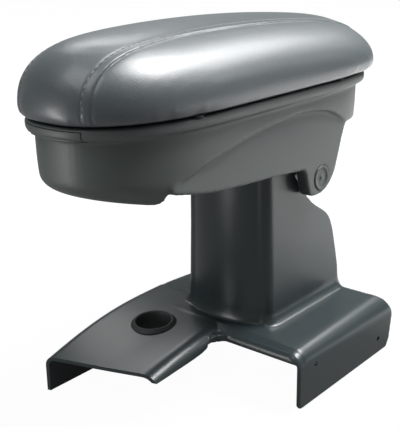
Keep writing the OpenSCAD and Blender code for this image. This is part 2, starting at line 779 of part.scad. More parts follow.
module lid_panel() {
    inset = box_t + panel_gap;
    y0 = knuckle_in + knuckle_gap;
    y1 = knuckle_mid - knuckle_gap;
    color(plastic) difference() {
        union() {
            translate([0, 0, panel_z]) linear_extrude(panel_t)
                polygon(plan(wall_front + inset, wall_rear - inset, wall_half - inset));
            translate([0, 0, panel_z]) linear_extrude(panel_t + wrap_t)
                polygon(plan(wall_front + 24, wall_rear - 24, panel_pad_half));
            both_sides() {
                bar(pin_x, pin_z, knuckle_r, y0, y1);
                translate([wall_rear - 12, y0, panel_z])
                    cube([pin_x - wall_rear + 12, y1 - y0, pin_z + knuckle_r - panel_z - 0.3]);
            }
            // Hook that the latch holds
            translate([hook_x, -hook_half, latch_z - 3.6])
                cube([hook_t, 2 * hook_half, panel_z - latch_z + 3.6 + eps]);
            translate([hook_x, -hook_half, latch_z - 3.6]) cube([hook_t + 3.4, 2 * hook_half, 3.3]);
        }
        bar(pin_x, pin_z, pin_d / 2 + run_gap, -far / 2, far / 2);
        both_sides() for (x = lid_screw_x) translate([x, lid_screw_y, panel_z]) mirror([0, 0, 1])
            screw_down(1.75, 3.2, 12);
    }
}

module cushion_board() {
    color("burlywood") difference() {
        translate([0, 0, cushion_z + wrap_t]) linear_extrude(board_t)
            polygon(plan(cushion_front + cushion_tuck + 3, cushion_rear - cushion_tuck - 3,
                         cushion_w / 2 - cushion_tuck - 3));
        both_sides() for (x = lid_screw_x) translate([x, lid_screw_y, panel_z]) mirror([0, 0, 1])
            screw_down(1.75, 3.2, panel_t + wrap_t + lid_screw_bite);
    }
}

// One level of the cushion: a share of the height, and its insets at the sides, front and rear
module cushion_slab(share, side, nose, tail) {
    body_h = cushion_h - cushion_belly - eps;
    slab(cushion_z + cushion_belly + body_h * share, cushion_front + nose, cushion_rear - tail,
         cushion_w / 2 - side);
}

module lid_cushion() {
    color(leather) difference() {
        hull() {
            slab(cushion_z, cushion_front + cushion_tuck, cushion_rear - cushion_tuck,
                 cushion_w / 2 - cushion_tuck);
            cushion_slab(0, 0, 0, 0);
            cushion_slab(0.2, 1, 1, 1.5);
            cushion_slab(0.38, 4.5, 3.5, 5);
            cushion_slab(0.53, 9.5, 8, 12);
            cushion_slab(0.7, 19, 17, 28);
            cushion_slab(0.83, 28.5, 29, 55);
            cushion_slab(0.92, 38, 46, 95);
            cushion_slab(0.985, 53, 92, 150);
        }
        translate([0, 0, cushion_z + wrap_t]) linear_extrude(board_t)
            polygon(plan(cushion_front + cushion_tuck + 3, cushion_rear - cushion_tuck - 3,
                         cushion_w / 2 - cushion_tuck - 3));
        translate([0, 0, cushion_z - 1]) linear_extrude(wrap_t + 2)
            polygon(plan(wall_front + 23.5, wall_rear - 23.5, panel_pad_half + 0.5));
    }
}

module lid_screws() {
    color(steel) both_sides() for (x = lid_screw_x) translate([x, lid_screw_y, panel_z])
        mirror([0, 0, 1]) screw_down(1.75, 3.2, panel_t + wrap_t + lid_screw_bite);
}

console_adapter();
socket_collar();
post_bracket();
bracket_screws();
pivot_bushes();
tilt_stop();
storage_box();
box_mat();
hinge_yoke();
yoke_screws();
pivot_axle();
axle_nut();
spring_washers();
pivot_cap_left();
pivot_cap_right();
lid_hinge_pin();
rim_buffers();
latch_button();
latch_spring();
latch_cover();
latch_screws();
lid_panel();
cushion_board();
lid_cushion();
lid_screws();
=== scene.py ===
# %% [markdown]
# A centre armrest for a car: a padded lid over a storage box, on a hollow pillar, on an adapter
# that straddles the console. The solids come from the CAD model and stay where they are. This
# lesson dresses them: each visible moulding is modelled again with soft edges, the lid gets a
# padded cover with a real seam, and every surface gets its own procedural finish.

# %% Load the frame
import json
import math

import bmesh
import bpy
import numpy as np
from mathutils import Matrix, Vector
from mathutils.bvhtree import BVHTree


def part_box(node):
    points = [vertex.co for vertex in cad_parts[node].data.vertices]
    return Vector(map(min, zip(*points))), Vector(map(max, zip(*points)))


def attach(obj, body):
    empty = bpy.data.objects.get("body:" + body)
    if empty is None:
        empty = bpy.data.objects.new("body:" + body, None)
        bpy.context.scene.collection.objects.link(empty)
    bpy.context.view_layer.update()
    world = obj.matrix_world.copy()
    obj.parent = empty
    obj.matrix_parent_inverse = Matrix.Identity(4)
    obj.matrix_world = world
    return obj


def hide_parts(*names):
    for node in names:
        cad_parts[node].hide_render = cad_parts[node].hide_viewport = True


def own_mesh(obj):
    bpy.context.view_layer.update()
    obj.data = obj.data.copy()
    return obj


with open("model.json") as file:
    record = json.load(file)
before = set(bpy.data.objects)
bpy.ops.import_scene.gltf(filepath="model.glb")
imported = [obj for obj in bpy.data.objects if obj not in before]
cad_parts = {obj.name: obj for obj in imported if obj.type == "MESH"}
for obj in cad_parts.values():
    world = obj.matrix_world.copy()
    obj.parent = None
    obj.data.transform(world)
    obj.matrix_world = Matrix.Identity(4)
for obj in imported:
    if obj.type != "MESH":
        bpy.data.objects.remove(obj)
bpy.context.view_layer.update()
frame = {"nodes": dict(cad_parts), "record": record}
scene = bpy.context.scene
MM = 0.001

# %% [markdown]
# The camera stands where the photographer stood: half to the front and half to the near side,
# looking down by 18 degrees. The focal length is given in pixels of the 400 x 427 picture, and
# the small shift puts the optical axis where the picture has it.

# %% Camera
PICTURE = (400, 427)
FOCAL_PX = 877.71
AXIS_PX = (202.56, 213.07)
CAMERA_AT = (-0.50434, -0.41077, 0.35278)
TURN, PITCH, ROLL = math.radians(-50.18), math.radians(18.14), math.radians(-0.85)

bpy.ops.object.camera_add(location=CAMERA_AT)
camera = bpy.context.object
camera.name = "photo_camera"
back = Vector((math.sin(TURN) * math.cos(PITCH), -math.cos(TURN) * math.cos(PITCH), math.sin(PITCH)))
level = (-back).cross(Vector((0, 0, 1))).normalized()
above = level.cross(-back)
right = level * math.cos(ROLL) + above * math.sin(ROLL)
up = above * math.cos(ROLL) - level * math.sin(ROLL)
camera.matrix_world = Matrix.Translation(CAMERA_AT) @ Matrix((right, up, back)).transposed().to_4x4()
camera.data.sensor_width = 36
camera.data.lens = FOCAL_PX / max(PICTURE) * camera.data.sensor_width
camera.data.shift_x = (PICTURE[0] / 2 - AXIS_PX[0]) / max(PICTURE)
camera.data.shift_y = (AXIS_PX[1] - PICTURE[1] / 2) / max(PICTURE)
scene.camera = camera
print("lens: %.1f mm" % camera.data.lens)

# %% [markdown]
# A catalogue photograph is lit by large soft boxes. The main one hangs high on the near side, so
# that its reflection lies along the near slope of the cushion. Weaker ones at the rear, at the
# side, on the far side and over the front fill in the top and the tongue. A narrow one stands low
# in front, out of the camera's sight, and draws the upright sheen on the bow.

# %% Light
def soft_box(name, place, size, power, target=(0.0, 0.0, 0.15)):
    """A rectangular lamp that faces the target."""
    bpy.ops.object.light_add(type="AREA", location=place)
    lamp = bpy.context.object
    lamp.name = name
    lamp.data.shape = "RECTANGLE"
    lamp.data.size, lamp.data.size_y = size
    lamp.data.energy = power
    lamp.rotation_euler = (Vector(target) - Vector(place)).to_track_quat("-Z", "Y").to_euler()
    return lamp


soft_box("main_box", (0.66, -0.52, 1.77), (0.9, 0.7), 53)
soft_box("rear_box", (1.38, -0.40, 1.48), (0.8, 0.5), 14)
soft_box("side_box", (1.35, -1.10, 1.15), (0.35, 0.45), 2.2)
soft_box("back_strip", (0.74, 0.98, 1.42), (0.8, 0.5), 5.5)
soft_box("front_top", (-0.80, 0.10, 1.35), (0.9, 0.9), 7)
strip = soft_box("front_strip", (-0.53, 0.22, 0.10), (0.12, 0.22), 0.75)
strip.visible_camera = False

# %% [markdown]
# The room itself is dim, so that faces turned away from the lamps stay dark, but the photograph's
# background is white. The Light Path node tells the kinds of ray apart: the camera, and rays that
# pass through clear materials, see a white world that lights nothing. Glossy rays see a small share
# of it, because reflections of a full white room would wash out the dark mouldings.

# %% World
WORLD_IN_GLOSS = 0.15
world = bpy.data.worlds.new("studio")
scene.world = world
world.use_nodes = True
ambient = world.node_tree.nodes["Background"]
ambient.inputs["Color"].default_value = (0.88, 1.0, 0.97, 1)
ambient.inputs["Strength"].default_value = 0.11


def calc(group, operation, first, second=0.0, third=None):
    """A math node whose inputs are sockets or numbers."""
    node = group.nodes.new("ShaderNodeMath")
    node.operation = operation
    for socket, value in zip(node.inputs, (first, second, third)):
        if value is None:
            continue
        if isinstance(value, (int, float)):
            socket.default_value = value
        else:
            group.links.new(value, socket)
    return node.outputs["Value"]


def backdrop_share(tree, dim):
    """How much of the white backdrop a ray sees: all for the camera and through glass, less in gloss."""
    path = tree.nodes.new("ShaderNodeLightPath")
    gloss = calc(tree, "MULTIPLY", path.outputs["Is Glossy Ray"], dim)
    clear = calc(tree, "MAXIMUM", path.outputs["Is Camera Ray"], path.outputs["Is Transmission Ray"])
    return calc(tree, "MAXIMUM", clear, gloss)


seen = world.node_tree.nodes.new("ShaderNodeBackground")
seen.inputs["Color"].default_value = (1, 1, 1, 1)
blend = world.node_tree.nodes.new("ShaderNodeMixShader")
world.node_tree.links.new(backdrop_share(world.node_tree, WORLD_IN_GLOSS), blend.inputs["Fac"])
world.node_tree.links.new(ambient.outputs["Background"], blend.inputs[1])
world.node_tree.links.new(seen.outputs["Background"], blend.inputs[2])
world.node_tree.links.new(blend.outputs["Shader"], world.node_tree.nodes["World Output"].inputs["Surface"])
scene.view_settings.view_transform = "Standard"
print("room light:", ambient.inputs["Strength"].default_value)

# %% [markdown]
# The floor is one wide plane. For the camera it is nine tenths white glow and one tenth paint, so it
# reads as the white of the photograph and still keeps the object's soft shadow. The paint is painted
# light: painted shade in front and a painted pool of light behind. Upright faces mirror the floor, so
# the front ones get a painted dark reflection and the near sides a pale one, as in the photograph.

# %% Floor
FLOOR_Z = -0.0004
# Painted light on the floor: its colour ramps from painted shade in front to painted light behind.
PAINTED_LIGHT_X, PAINTED_LIGHT_TONE = (0.14, 0.36), (0.14, 0.95)
GLOW, GLOW_SHARE, FLOOR_IN_GLOSS = 1.08, 0.9, 0.10
bpy.ops.mesh.primitive_plane_add(size=30, location=(0, 0, FLOOR_Z))
floor = bpy.context.object
floor.name = "floor"
floor_paint = bpy.data.materials.new("floor_paint")
floor_paint.use_nodes = True
tree = floor_paint.node_tree
across = tree.nodes.new("ShaderNodeSeparateXYZ")
tree.links.new(tree.nodes.new("ShaderNodeTexCoord").outputs["Object"], across.inputs["Vector"])
painted_light_ramp = tree.nodes.new("ShaderNodeMapRange")
for socket, value in zip(("From Min", "From Max", "To Min", "To Max"), PAINTED_LIGHT_X + PAINTED_LIGHT_TONE):
    painted_light_ramp.inputs[socket].default_value = value
tree.links.new(across.outputs["X"], painted_light_ramp.inputs["Value"])
tree.links.new(painted_light_ramp.outputs["Result"], tree.nodes["Principled BSDF"].inputs["Base Color"])
tree.nodes["Principled BSDF"].inputs["Roughness"].default_value = 0.9
glow = tree.nodes.new("ShaderNodeEmission")
glow.inputs["Color"].default_value = (1, 1, 1, 1)
glow.inputs["Strength"].default_value = GLOW
blend = tree.nodes.new("ShaderNodeMixShader")
tree.links.new(calc(tree, "MULTIPLY", backdrop_share(tree, FLOOR_IN_GLOSS), GLOW_SHARE), blend.inputs["Fac"])
tree.links.new(tree.nodes["Principled BSDF"].outputs["BSDF"], blend.inputs[1])
tree.links.new(glow.outputs["Emission"], blend.inputs[2])
tree.links.new(blend.outputs["Shader"], tree.nodes["Material Output"].inputs["Surface"])
floor.data.materials.append(floor_paint)
print("floor paint, front to rear:", PAINTED_LIGHT_TONE)

# %% [markdown]
# Two effects are shared by the finishes. "moulded" is what a plastic tool leaves: a fine even
# grain, and wide faint patches where the surface is a little darker or duller. "hide" is the
# surface of a synthetic leather: small rounded cells between fine creases, with slow swells. Its
# colour is darker in the creases, which is painted shade, and lighter where the swells rise.

# %% Shared node groups
def new_group(name, inputs, outputs):
    """An empty shader group with named sockets, and its two end nodes."""
    group = bpy.data.node_groups.new(name, "ShaderNodeTree")
    for label, kind, value in inputs:
        socket = group.interface.new_socket(name=label, in_out="INPUT", socket_type=kind)
        socket.default_value = value
    for label, kind in outputs:
        group.interface.new_socket(name=label, in_out="OUTPUT", socket_type=kind)
    return group, group.nodes.new("NodeGroupInput"), group.nodes.new("NodeGroupOutput")


def noise(group, place, scale, detail=3.0, roughness=0.55):
    """Noise on object coordinates, at a scale per metre that may be a socket."""
    node = group.nodes.new("ShaderNodeTexNoise")
    node.inputs["Detail"].default_value = detail
    node.inputs["Roughness"].default_value = roughness
    group.links.new(place, node.inputs["Vector"])
    if isinstance(scale, (int, float)):
        node.inputs["Scale"].default_value = scale
    else:
        group.links.new(scale, node.inputs["Scale"])
    return node.outputs["Fac"]


def tinted(group, colour, factor):
    """The colour, made lighter or darker by the factor."""
    node = group.nodes.new("ShaderNodeVectorMath")
    node.operation = "SCALE"
    group.links.new(colour, node.inputs[0])
    group.links.new(factor, node.inputs["Scale"])
    return node.outputs["Vector"]


SURFACE = [("Colour", "NodeSocketColor"), ("Roughness", "NodeSocketFloat"), ("Height", "NodeSocketFloat")]


def moulded_group():
    group, given, result = new_group("moulded", [
        ("Colour", "NodeSocketColor", (0.1, 0.1, 0.1, 1)), ("Roughness", "NodeSocketFloat", 0.45),
        ("Grain", "NodeSocketFloat", 1500.0), ("Patches", "NodeSocketFloat", 0.12)], SURFACE)
    place = group.nodes.new("ShaderNodeTexCoord").outputs["Object"]
    grain = noise(group, place, given.outputs["Grain"], 2.0)
    slow = calc(group, "SUBTRACT", noise(group, place, 16.0), 0.5)
    drift = calc(group, "MULTIPLY", slow, given.outputs["Patches"])
    fleck = calc(group, "MULTIPLY_ADD", grain, 0.10, 0.95)
    group.links.new(tinted(group, given.outputs["Colour"], calc(group, "MULTIPLY_ADD", drift, 2.0, fleck)),
                    result.inputs["Colour"])
    group.links.new(calc(group, "ADD", given.outputs["Roughness"], drift), result.inputs["Roughness"])
    group.links.new(grain, result.inputs["Height"])
    return group


def hide_group():
    group, given, result = new_group("hide", [
        ("Colour", "NodeSocketColor", (0.1, 0.1, 0.1, 1)), ("Roughness", "NodeSocketFloat", 0.4),
        ("Cells", "NodeSocketFloat", 850.0), ("Swells", "NodeSocketFloat", 0.5)], SURFACE)
    place = group.nodes.new("ShaderNodeTexCoord").outputs["Object"]
    wander = noise(group, place, 260.0, 2.0)
    moved = group.nodes.new("ShaderNodeVectorMath")
    moved.operation = "MULTIPLY_ADD"
    group.links.new(wander, moved.inputs[0])
    moved.inputs[1].default_value = (0.002, 0.002, 0.002)
    group.links.new(place, moved.inputs[2])
    cells = group.nodes.new("ShaderNodeTexVoronoi")
    cells.feature = "DISTANCE_TO_EDGE"
    group.links.new(moved.outputs["Vector"], cells.inputs["Vector"])
    group.links.new(given.outputs["Cells"], cells.inputs["Scale"])
    crease = calc(group, "SMOOTH_MIN", calc(group, "MULTIPLY", cells.outputs["Distance"], 4.0), 1.0, 0.3)
    swell = noise(group, place, 70.0, 2.0)
    height = calc(group, "MULTIPLY_ADD", swell, given.outputs["Swells"], crease)
    # The colour is painted shade in the creases, and lighter where the swells rise, darker where they sink.
    crease_shade_and_tone = calc(group, "MULTIPLY_ADD", crease, 0.14, calc(group, "MULTIPLY_ADD", swell, 0.12, 0.82))
    group.links.new(tinted(group, given.outputs["Colour"], crease_shade_and_tone), result.inputs["Colour"])
    group.links.new(calc(group, "MULTIPLY_ADD", calc(group, "SUBTRACT", 1.0, crease), 0.16,
                         given.outputs["Roughness"]), result.inputs["Roughness"])
    group.links.new(height, result.inputs["Height"])
    return group


moulded, hide = moulded_group(), hide_group()
print("groups:", moulded.name, hide.name)

# %% [markdown]
# Each finish is one Principled material. Its colour, roughness and bump come from a shared group
# with this finish's own values, and what is the same all over, such as the clear coat on the
# leather, is set on the shader itself. The colours are written a little darker than they look in
# the photograph, because there the gloss adds to them.


# %% Finishes
def finish_from(group, name, colour, roughness, bump, step=0.0002, shader=None, **values):
    """A Principled material whose colour, roughness and bump come from a shared group."""
    material = bpy.data.materials.new(name)
    material.use_nodes = True
    nodes, links = material.node_tree.nodes, material.node_tree.links
    bsdf = nodes["Principled BSDF"]
    surface = nodes.new("ShaderNodeGroup")
    surface.node_tree = group
    surface.inputs["Colour"].default_value = (*colour, 1)
    surface.inputs["Roughness"].default_value = roughness
    for key, value in values.items():
        surface.inputs[key].default_value = value
    relief = nodes.new("ShaderNodeBump")
    relief.inputs["Strength"].default_value = bump
    relief.inputs["Distance"].default_value = step
    links.new(surface.outputs["Colour"], bsdf.inputs["Base Color"])
    links.new(surface.outputs["Roughness"], bsdf.inputs["Roughness"])
    links.new(surface.outputs["Height"], relief.inputs["Height"])
    links.new(relief.outputs["Normal"], bsdf.inputs["Normal"])
    for key, value in (shader or {}).items():
        bsdf.inputs[key].default_value = value
    return material


FINISH = {
    "adapter_plastic": finish_from(moulded, "adapter_plastic", (0.029, 0.039, 0.042), 0.30, 0.18,
                                   Grain=1100.0, Patches=0.10),
    "box_plastic": finish_from(moulded, "box_plastic", (0.086, 0.099, 0.096), 0.46, 0.30,
                               Grain=1500.0, Patches=0.08),
    "inner_plastic": finish_from(moulded, "inner_plastic", (0.035, 0.037, 0.040), 0.55, 0.35,
                                 Grain=1200.0, Patches=0.10),
    "cover_leather": finish_from(hide, "cover_leather", (0.070, 0.084, 0.091), 0.36, 0.40, step=0.00012,
                                 shader={"Coat Weight": 0.75, "Coat Roughness": 0.31},
                                 Cells=850.0, Swells=0.9),
    "black_rubber": finish_from(moulded, "black_rubber", (0.022, 0.023, 0.025), 0.62, 0.40,
                                Grain=900.0, Patches=0.15),
    "zinc_steel": finish_from(moulded, "zinc_steel", (0.55, 0.56, 0.58), 0.34, 0.12,
                              shader={"Metallic": 1.0}, Grain=500.0, Patches=0.25),
    "bush_nylon": finish_from(moulded, "bush_nylon", (0.72, 0.70, 0.64), 0.45, 0.15,
                              Grain=700.0, Patches=0.10),
    "board_wood": finish_from(moulded, "board_wood", (0.40, 0.29, 0.18), 0.80, 0.50, step=0.0005,
                              Grain=420.0, Patches=0.30),
    "thread": finish_from(moulded, "thread", (0.20, 0.21, 0.22), 0.60, 0.50, Grain=2600.0, Patches=0.10),
}
slot_of = {row["node"]: row["material_slot"] for row in frame["record"]["subparts"]}
for node_name, solid in frame["nodes"].items():
    for place in solid.material_slots:
        place.material = FINISH[slot_of[node_name]]
print("finishes:", len(FINISH))

# %% [markdown]
# Mouldings are made in the way of a model maker: simple closed blocks are lofted ring by ring with
# the extrude operator, because every section of a moulding can then be given by its outline. Each
# extrusion leaves the new ring selected, and its vertices are put on the next outline's points.


# %% Lofted blocks
def alone(*objects):
    """Leaves edit mode, and selects only these objects, the first one active."""
    if bpy.context.mode != "OBJECT":
        bpy.ops.object.mode_set(mode="OBJECT")
    bpy.ops.object.select_all(action="DESELECT")
    for obj in objects:
        obj.select_set(True)
    if objects:
        bpy.context.view_layer.objects.active = objects[0]


def place_ring(mesh, points, before=None):
    """Puts the selected ring of vertices on the points, matched by where they stood before."""
    chosen = [v for v in mesh.verts if v.select]
    if before is None:
        order = range(len(chosen))
    else:
        rounded = {tuple(np.round(p, 7)): i for i, p in enumerate(before)}
        order = [rounded[tuple(round(c, 7) for c in v.co)] for v in chosen]
    for vertex, i in zip(chosen, order):
        vertex.co = points[i]
    return chosen


def loft(name, rings):
    """A closed block: a circle of vertices, extruded through the rings, with both ends filled."""
    rings = [np.float32(ring).astype(float) for ring in rings]
    alone()
    bpy.ops.mesh.primitive_circle_add(vertices=len(rings[0]), radius=0.1, fill_type="NOTHING")
    block = bpy.context.object
    block.name = name
    bpy.ops.object.mode_set(mode="EDIT")
    bpy.ops.mesh.select_mode(type="VERT")
    bpy.ops.mesh.select_all(action="SELECT")
    mesh = bmesh.from_edit_mesh(block.data)
    place_ring(mesh, rings[0])
    bmesh.update_edit_mesh(block.data)
    bpy.ops.mesh.edge_face_add()
    bpy.ops.mesh.select_all(action="SELECT")
    before = rings[0]
    for ring in rings[1:]:
        bpy.ops.mesh.extrude_region_move()
        mesh = bmesh.from_edit_mesh(block.data)
        place_ring(mesh, ring, before)
        bmesh.update_edit_mesh(block.data)
        before = ring
    bpy.ops.mesh.select_all(action="SELECT")
    bpy.ops.mesh.normals_make_consistent(inside=False)
    bpy.ops.object.mode_set(mode="OBJECT")
    bpy.ops.object.transform_apply(location=True, rotation=True, scale=True)
    return block


def prism(name, profile, y0, y1):
    """A side view, given as X and Z, extruded across the car from y0 to y1."""
    profile = np.array(profile, float)
    ring = [np.column_stack((profile[:, 0], np.full(len(profile), y), profile[:, 1])) * MM for y in (y0, y1)]
    return loft(name, ring)


def slab(name, low, high):
    """A plain block between two corners, to join on or to cut with."""
    (x0, y0, z0), (x1, y1, z1) = low, high
    return prism(name, [(x0, z0), (x1, z0), (x1, z1), (x0, z1)], y0, y1)


def rod(name, x, z, radius, y0, y1, count=48):
    """A round bar across the car."""
    turn = np.linspace(0, 2 * np.pi, count, endpoint=False)
    return prism(name, np.column_stack((x + radius * np.cos(turn), z + radius * np.sin(turn))), y0, y1)


def arc(cx, cy, radius, start, end, count):
    """Points along a part of a circle, between two angles in degrees."""
    turn = np.radians(np.linspace(start, end, count))
    return np.column_stack((cx + radius * np.cos(turn), cy + radius * np.sin(turn)))


print("block helpers:", [helper.__name__ for helper in (loft, prism, slab, rod)])

# %% [markdown]
# The blocks are then joined and cut with Boolean modifiers. A voxel remesh and a little smoothing
# melt the joins into the soft radii of a moulded plastic, and decimation takes out the triangles
# that flat places don't need. A bevel would fail in the many corners where blocks meet.


# %% Joining and softening
def apply_all(obj):
    """Applies every modifier of the object, in order."""
    alone(obj)
    for modifier in list(obj.modifiers):
        bpy.ops.object.modifier_apply(modifier=modifier.name)


def combine(body, others, operation, solver="EXACT"):
    """Joins the other blocks to the body, or cuts them out of it, and removes them."""
    for other in others:
        modifier = body.modifiers.new(operation.lower(), "BOOLEAN")
        modifier.operation, modifier.object, modifier.solver = operation, other, solver
        apply_all(body)
        bpy.data.objects.remove(other)
    return body


def soften(body, voxel, passes):
    """Voxel remesh and smoothing, which round every edge and corner as a moulding's are."""
    remesh = body.modifiers.new("remesh", "REMESH")
    remesh.mode, remesh.voxel_size = "VOXEL", voxel * MM
    smooth = body.modifiers.new("smooth", "SMOOTH")
    smooth.factor, smooth.iterations = 0.5, passes
    apply_all(body)
    return body


MOST_TRIANGLES = 170000


def thin_out(body):
    """Decimation down to the most triangles that a piece should have, after a fine remesh."""
    count = sum(len(face.vertices) - 2 for face in body.data.polygons)
    decimate = body.modifiers.new("decimate", "DECIMATE")
    decimate.ratio = min(1.0, MOST_TRIANGLES / count)
    apply_all(body)
    return body


def mirrored(obj):
    """A copy on the other side of the middle plane, with its faces turned the right way out."""
    alone(obj)
    bpy.ops.object.duplicate()
    twin = bpy.context.object
    twin.scale.y = -1
    bpy.ops.object.transform_apply(location=True, rotation=True, scale=True)
    bpy.ops.object.mode_set(mode="EDIT")
    bpy.ops.mesh.select_all(action="SELECT")
    bpy.ops.mesh.normals_make_consistent(inside=False)
    bpy.ops.object.mode_set(mode="OBJECT")
    return twin


print("joining helpers:", [helper.__name__ for helper in (combine, soften, thin_out, mirrored)])

# %% [markdown]
# A finished piece gets its name, its finish and the body that carries it, and it stands for the
# plain solid of the CAD model. Its mesh keeps its place, and its object goes to the origin.


# %% Dressing a piece
def dress(obj, name, body, slot, finish=None, replaces=()):
    """Names a finished piece, gives it its finish and body, and hides the solids it stands for."""
    alone(obj)
    obj.name = name
    bpy.ops.object.transform_apply(location=True, rotation=True, scale=True)
    obj.data.materials.clear()
    obj.data.materials.append(FINISH[finish or slot])
    bpy.ops.object.shade_smooth_by_angle(angle=math.radians(40))
    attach(obj, body)
    if replaces:
        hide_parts(*replaces)
    print(name, "triangles:", sum(len(p.vertices) - 2 for p in obj.data.polygons))
    return obj


# %% [markdown]
# The lid and the box share one outline, seen from above: rounder at the front than at the rear,
# with gently bowed sides. It is a superellipse whose powers differ ahead of and behind the widest
# place, and its points are spread evenly, so that the rings of a loft match.

# %% Outline
CUSHION = {"front": -165.0, "rear": 165.0, "half": 67.0, "z": 238.3, "tuck": 3.9, "belly": 4.93}
WIDEST_X = -29.0
FRONT_POWERS, REAR_POWERS = (0.62, 0.88), (0.36, 0.41)
BAND = {"front": -160.5, "rear": 153.0, "half": 62.5}
WALL = {"front": -155.0, "rear": 147.5, "half": 57.0}
RIM_Z, TRAY_Z, WELL_FLOOR_Z, SKIN = 237.5, 184.0, 190.0, 3.0


def outline(front, rear, half, z, count=160):
    """Evenly spaced points of the outline at height z, in millimetres."""
    turn = np.linspace(0, 2 * np.pi, 6001)
    c, s = np.cos(turn), np.sin(turn)
    ahead = c < 0
    x = WIDEST_X + np.where(ahead, WIDEST_X - front, rear - WIDEST_X) * np.sign(c) \
        * np.abs(c) ** np.where(ahead, FRONT_POWERS[0], REAR_POWERS[0])
    y = half * np.sign(s) * np.abs(s) ** np.where(ahead, FRONT_POWERS[1], REAR_POWERS[1])
    along = np.concatenate(([0], np.cumsum(np.hypot(np.diff(x), np.diff(y)))))
    even = np.linspace(0, along[-1], count, endpoint=False) + along[-1] / count / 2
    return np.column_stack((np.interp(even, along, x), np.interp(even, along, y), np.full(count, z)))


def inset_outline(plan, inset, z, nose=0.0):
    """The outline moved inwards all round, and at the nose by more."""
    return outline(plan["front"] + inset + nose, plan["rear"] - inset, plan["half"] - inset, z)


steps = np.diff(inset_outline(CUSHION, 0, 0), axis=0)
print("outline length: %.0f mm" % np.linalg.norm(steps, axis=1).sum())

# %% [markdown]
# The cushion is a crowned foam block under a sewn cover. Its height over the lower edge depends on
# how far a point lies inside the outline: steep at the edge, then flat, and a little lower towards
# the ends and the far sides. The loft starts slightly small, is remeshed into an even net, and is
# then blown up by a cloth simulation with its underside pinned, so the cover looks filled.

# %% Cushion
CROWN = {"rise": 48.6, "power": 2.6, "width": 57.62, "along": 0.21, "across": 0.29}


def crown_z(points, inset):
    """Height of the crown at plan points that lie this far inside the outline."""
    share = 1 - np.clip(inset / CROWN["width"], 0, 1)
    rise = CROWN["rise"] * (1 - share ** CROWN["power"]) ** (1 / CROWN["power"])
    fall = 1 - CROWN["along"] * ((points[:, 0] - WIDEST_X) / CUSHION["rear"]) ** 2 \
        - CROWN["across"] * (points[:, 1] / CUSHION["half"]) ** 2
    return CUSHION["z"] + CUSHION["belly"] + rise * fall


def cushion_rings(shrink):
    """Up the rolled lower edge, over the crown, and three small rings that close the top."""
    rings = []
    for turn in np.linspace(0, np.pi / 2, 5)[:-1]:
        rings.append(inset_outline(CUSHION, CUSHION["tuck"] * (1 - math.sin(turn)) + shrink,
                                   CUSHION["z"] + CUSHION["belly"] * (1 - math.cos(turn))))
    for share in np.linspace(0, 1, 22) ** 2.2:
        inset = CROWN["width"] * share
        ring = inset_outline(CUSHION, inset + shrink * (1 - share), 0)
        ring[:, 2] = crown_z(ring, inset) - shrink * share
        rings.append(ring)
    for inset in (60.5, 63.5, 66.0):
        ring = inset_outline(CUSHION, inset, 0)
        ring[:, 2] = crown_z(ring, inset) - shrink
        rings.append(ring)
    return [ring * MM for ring in rings]


PAD_CAP, PAD_SHRINK, PAD_VOXEL = 2.2 * MM, 1.0, 4.0
cushion = soften(loft("lid_cover", cushion_rings(PAD_SHRINK)), PAD_VOXEL, 3)
print("cushion net:", len(cushion.data.vertices), "vertices")

# %% [markdown]
# The cloth solver gets the cushion's skin, with a pressure inside and no gravity. The underside is
# pinned, as it is fixed to its board, and a cap on the movement keeps the pad inside its space.
# Simulating is chosen over shaping by hand because the swell then follows from the form itself.

# %% Filling the cushion
SETTLE_FRAMES = 20


def mesh_points(obj):
    """The places of all vertices, one row each."""
    flat = np.zeros(len(obj.data.vertices) * 3)
    obj.data.vertices.foreach_get("co", flat)
    return flat.reshape(-1, 3)


def set_points(obj, points):
    obj.data.vertices.foreach_set("co", np.asarray(points, float).ravel())
    obj.data.update()


def inflate(pad, pinned, cap):
    """Cloth with pressure; the pinned vertices stay, and no point moves further than the cap."""
    start = mesh_points(pad)
    group = pad.vertex_groups.new(name="pinned")
    group.add([int(i) for i in np.nonzero(pinned)[0]], 1.0, "REPLACE")
    cloth = pad.modifiers.new("cloth", "CLOTH")
    cloth.settings.use_pressure = True
    cloth.settings.uniform_pressure_force = 4
    cloth.settings.vertex_group_mass = "pinned"
    cloth.settings.effector_weights.gravity = 0
    cloth.settings.tension_stiffness = 25
    cloth.settings.compression_stiffness = 25
    cloth.point_cache.frame_end = SETTLE_FRAMES
    for step in range(1, SETTLE_FRAMES + 1):
        scene.frame_set(step)
    shape = pad.evaluated_get(bpy.context.evaluated_depsgraph_get())
    moved = np.zeros(len(start) * 3)
    shape.data.vertices.foreach_get("co", moved)
    shift = moved.reshape(-1, 3) - start
    length = np.linalg.norm(shift, axis=1, keepdims=True)
    shift *= np.minimum(1, cap / np.maximum(length, 1e-9))
    pad.modifiers.remove(cloth)
    pad.vertex_groups.remove(group)
    set_points(pad, start + shift)
    scene.frame_set(1)
    return float(length.max()), float(np.linalg.norm(shift, axis=1).mean())


low = mesh_points(cushion)[:, 2] < (CUSHION["z"] + 1.2) * MM
print("swell, largest and mean after the cap:", inflate(cushion, low, PAD_CAP))
again = cushion.modifiers.new("fine", "SUBSURF")
again.levels = again.render_levels = 1
apply_all(cushion)

# %% [markdown]
# The cover is sewn from three panels. The top panel is folded over the side panels at the two long
# seams and stitched down about 5 mm inside the fold. The net is made finer along the seams, and
# its points are moved in or out by a profile: a low step up on the top panel, a narrow groove
# right outside the fold, and a shallow one under the stitches.

# %% Seams
SEAM_Y, STITCH_IN = 33.0, 4.7
PROFILE_AT = [-8.0, -6.3, -5.3, -4.7, -4.1, -3.2, -1.4, -0.4, 0.0, 0.5, 1.1, 2.2, 3.6, 5.0]
PROFILE = [0.0, 0.02, -0.12, -0.28, 0.05, 0.28, 0.48, 0.50, 0.05, -0.42, -0.22, -0.05, 0.0, 0.0]

